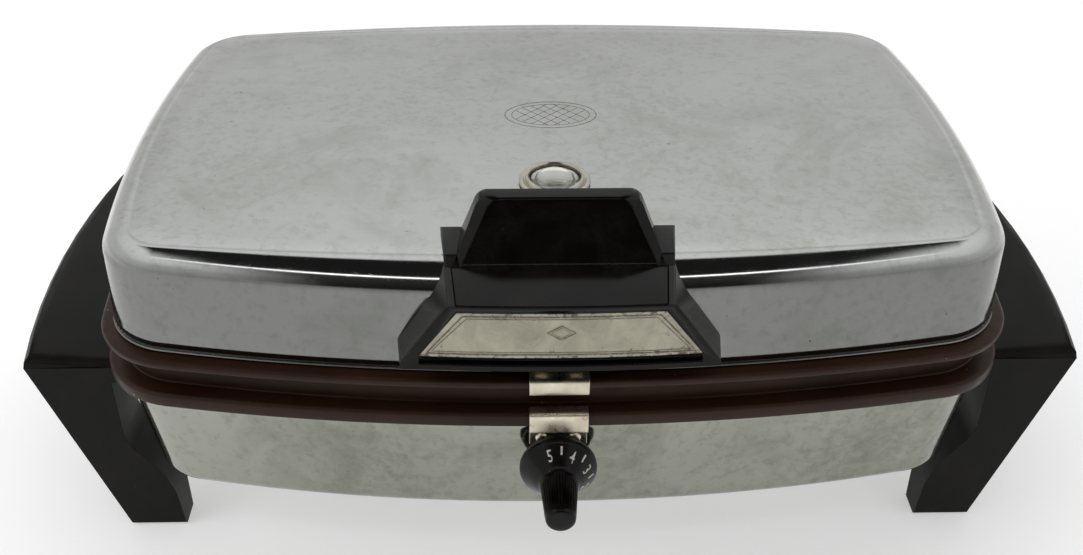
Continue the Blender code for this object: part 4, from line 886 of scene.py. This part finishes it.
def clip_skin(name, path, body, node, material):
    """A bent strip of spring metal with broken edges."""
    half, thick, soft = 10.3, 0.4, 0.14
    path = soften(path)
    rings = []
    for i, (y, z) in enumerate(path):
        before, after = path[max(i - 1, 0)], path[min(i + 1, len(path) - 1)]
        along = Vector((after[0] - before[0], after[1] - before[1])).normalized()
        out = Vector((-along.y, along.x))
        row = [(half - soft, thick), (half, thick - soft), (half, soft - thick), (half - soft, -thick),
               (soft - half, -thick), (-half, soft - thick), (-half, thick - soft), (soft - half, thick)]
        rings.append([(x * MM, MIDDLE_Y + (y + out.x * t) * MM, (z + out.y * t) * MM) for x, t in row])
    bm = bmesh.new()
    skin(bm, rings, cap_start=True, cap_end=True)
    return add_piece(name, bm, body, "nickel", material, node)


def rivet_skin(node, body, slot, material, outward):
    """A domed rivet along Y in place of a coarser one."""
    low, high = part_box(node)
    middle = (low + high) / 2
    head = (high.x - low.x) / 2
    length = high.y - low.y
    place = Vector((middle.x, high.y if outward > 0 else low.y, middle.z))
    shank = 1.3 * MM
    profile = [(0.01 * MM, 0), (0.35 * head, -0.06 * MM), (0.65 * head, -0.28 * MM),
               (0.88 * head, -0.65 * MM), (head, -1.2 * MM), (shank, -1.22 * MM), (shank, 0.8 * MM - length),
               (0.75 * head, 0.7 * MM - length), (0.6 * head, 0.1 * MM - length), (0.01 * MM, -length)]
    bm = bmesh.new()
    turn(bm, profile, place, (0, outward, 0), 20)
    return add_piece(node + "_domed", bm, body, slot, material, node)


def lamp_skins(bezel_material, glass):
    """The stepped bezel ring and the domed lens in it."""
    place = Vector((0, MIDDLE_Y - 48 * MM, LID_TOP_Z + 0.3 * MM))
    bezel = [(9.5, -5), (10.5, -5), (10.5, 0), (13.2, 0), (13.3, 0.25), (13.2, 0.8), (12.8, 1.25),
             (12.3, 1.4), (11.8, 1.3), (11.5, 0.95), (11.1, 0.9), (10.9, 1.3), (10.75, 2.1), (10.4, 2.55),
             (9.95, 2.6), (9.65, 2.3), (9.5, 1.6), (9.5, -5)]
    bm = bmesh.new()
    turn(bm, [(r * MM, h * MM) for r, h in bezel], place, (0, 0, 1), 72)
    add_piece("lens_ring", bm, "lid", "chrome", bezel_material, "lens_bezel", sharp=50)
    lens = [(0.01, -2.6), (9.1, -2.6), (9.2, -2.3), (9.2, 0.7), (8.9, 1.2), (8.0, 1.55), (7.3, 1.6),
            (6.9, 1.9), (6.1, 2.7), (4.6, 3.35), (2.6, 3.6), (0.01, 3.65)]
    bm = bmesh.new()
    turn(bm, [(r * MM, h * MM) for r, h in lens], place, (0, 0, 1), 72)
    add_piece("lens_moulding", bm, "lid", "clear_glass", glass, "signal_lens", sharp=50)


# ---------------------------------------------------------------- scene

set_camera()
set_world()
floor = bpy.data.meshes.new("table_top")
floor.from_pydata([(-6, -6, 0), (6, -6, 0), (6, 6, 0), (-6, 6, 0)], [], [(0, 1, 2, 3)])
floor.materials.append(floor_paint())
table_top = bpy.data.objects.new("table_top", floor)
scene.collection.objects.link(table_top)
area_light("overhead", (0.0, 0.25, 1.5), (0, 0, 0), (1.6, 1.0), 9)
area_light("key_left", (-1.3, -0.35, 1.1), (0, 0, 0.1), (0.9, 0.9), 5)
scene.view_settings.view_transform = "Standard"

# the lid's chrome carries painted shade on its wall below 143.5 mm, fading out by 147 mm
chrome_lid = chrome_paint("chrome_lid", (0.54, 0.55, 0.535), (0.47, 0.48, 0.455), (0.36, 0.37, 0.335),
                          (143.5 * MM, 147 * MM))
# the pan's chrome is a darker copy of the lid's: painted shade that dims its reflections of the bright floor
chrome_pan_painted_shade = chrome_paint("chrome_pan_painted_shade", (0.35, 0.36, 0.31), (0.27, 0.28, 0.235), (0.18, 0.19, 0.145))
bakelite = bakelite_paint("bakelite", 0.12, 0.2, 1.3)
gloss = bakelite_paint("bakelite_glossy", 0.18, 0.0, 0.7)
coating = coating_paint()
nickel = nickel_paint("nickel", (0.80, 0.74, 0.60), (0.62, 0.56, 0.43), (0.20, 0.16, 0.11))
steel = plain_metal("zinc_steel", (0.58, 0.58, 0.57), (0.42, 0.42, 0.40), 0.3, 0.5)
brass = plain_metal("brass", (0.74, 0.56, 0.27), (0.52, 0.38, 0.17), 0.25, 0.45, 90)
tinplate = plain_metal("tinplate", (0.66, 0.66, 0.64), (0.48, 0.48, 0.45), 0.18, 0.35, 30)
sheath = plain_metal("heater_sheath", (0.13, 0.125, 0.115), (0.07, 0.066, 0.06), 0.45, 0.65, 90)
bright = nickel_paint("bright_chrome", (0.56, 0.54, 0.47), (0.42, 0.40, 0.33), (0.20, 0.17, 0.12), 0.06, 0.16)
ceramic = ceramic_paint()
lens_glass = glass_paint("lens_glass", (0.92, 0.92, 0.88), (0.75, 0.74, 0.66), 0.03, 0.15, 0.9)
amber = glass_paint("amber_glass", (0.95, 0.42, 0.10), (0.6, 0.24, 0.06), 0.05, 0.15, 0.8)
plate = plate_paint()

lid_skin(chrome_lid)
pan_skin(chrome_pan_painted_shade)
grid_skin("lower_grid_casting", 1, LOWER_RIM, coating)
grid_skin("upper_grid_casting", -1, UPPER_RIM, coating)

lid_handle_skin(gloss)
label_lines(mark_paint("label_print", (0.10, 0.075, 0.05), (0.34, 0.31, 0.24)))
lid_ornament(mark_paint("engraving", (0.10, 0.10, 0.085), (0.24, 0.24, 0.21)))
knob_skin(gloss)
dial_marks(mark_paint("silver_fill", (0.62, 0.60, 0.54), (0.30, 0.29, 0.26)))
clip_skin("lower_clip_strip", LOWER_CLIP_PATH, "lower_clip", "lower_grid_clip", nickel)
clip_skin("upper_clip_strip", UPPER_CLIP_PATH, "upper_clip", "upper_grid_clip", nickel)
for side in ("left", "right"):
    rivet_skin(f"lower_clip_rivet_{side}", "base", "nickel", nickel, -1)
    rivet_skin(f"upper_clip_rivet_{side}", "lid", "nickel", nickel, -1)
    for number in (1, 2):
        rivet_skin(f"base_bracket_rivet_{side}_{number}", "base", "zinc_steel", steel, 1)
        rivet_skin(f"hinge_arm_rivet_{side}_{number}", "lid", "zinc_steel", steel, 1)
lamp_skins(bright, lens_glass)

# Solids kept as they are: finish, and width of their broken edges in millimetres
kept = {
    "left_side_handle": (bakelite, 0.5), "right_side_handle": (bakelite, 0.5),
    "inlet_shroud": (bakelite, 0.5),
    "bottom_cover": (steel, 0.2), "base_bracket_left": (steel, 0.25), "base_bracket_right": (steel, 0.25),
    "hinge_arm_left": (steel, 0.25), "hinge_arm_right": (steel, 0.25), "hinge_pin": (steel, 0.3),
    "thermostat_bracket": (steel, 0.15), "lamp_holder": (steel, 0.1),
    "nameplate": (plate, 0.1),
    "inlet_pin_left": (nickel, 0.4), "inlet_pin_right": (nickel, 0.4),
    "lower_reflector": (tinplate, 0.1), "upper_reflector": (tinplate, 0.1),
    "lower_element": (sheath, 0), "upper_element": (sheath, 0),
    "lower_terminal_front": (ceramic, 0.3), "lower_terminal_rear": (ceramic, 0.3),
    "upper_terminal_front": (ceramic, 0.3), "upper_terminal_rear": (ceramic, 0.3),
    "thermostat_block": (ceramic, 0.3), "knob_shaft": (brass, 0.2), "shaft_bush": (brass, 0.2),
    "bimetal_blade": (brass, 0.05), "signal_lamp": (amber, 0.2),
}
for name, (material, width) in kept.items():
    keep(name, material, width * MM)
for name in nodes:
    if "screw" in name:
        keep(name, steel, 0.2 * MM)
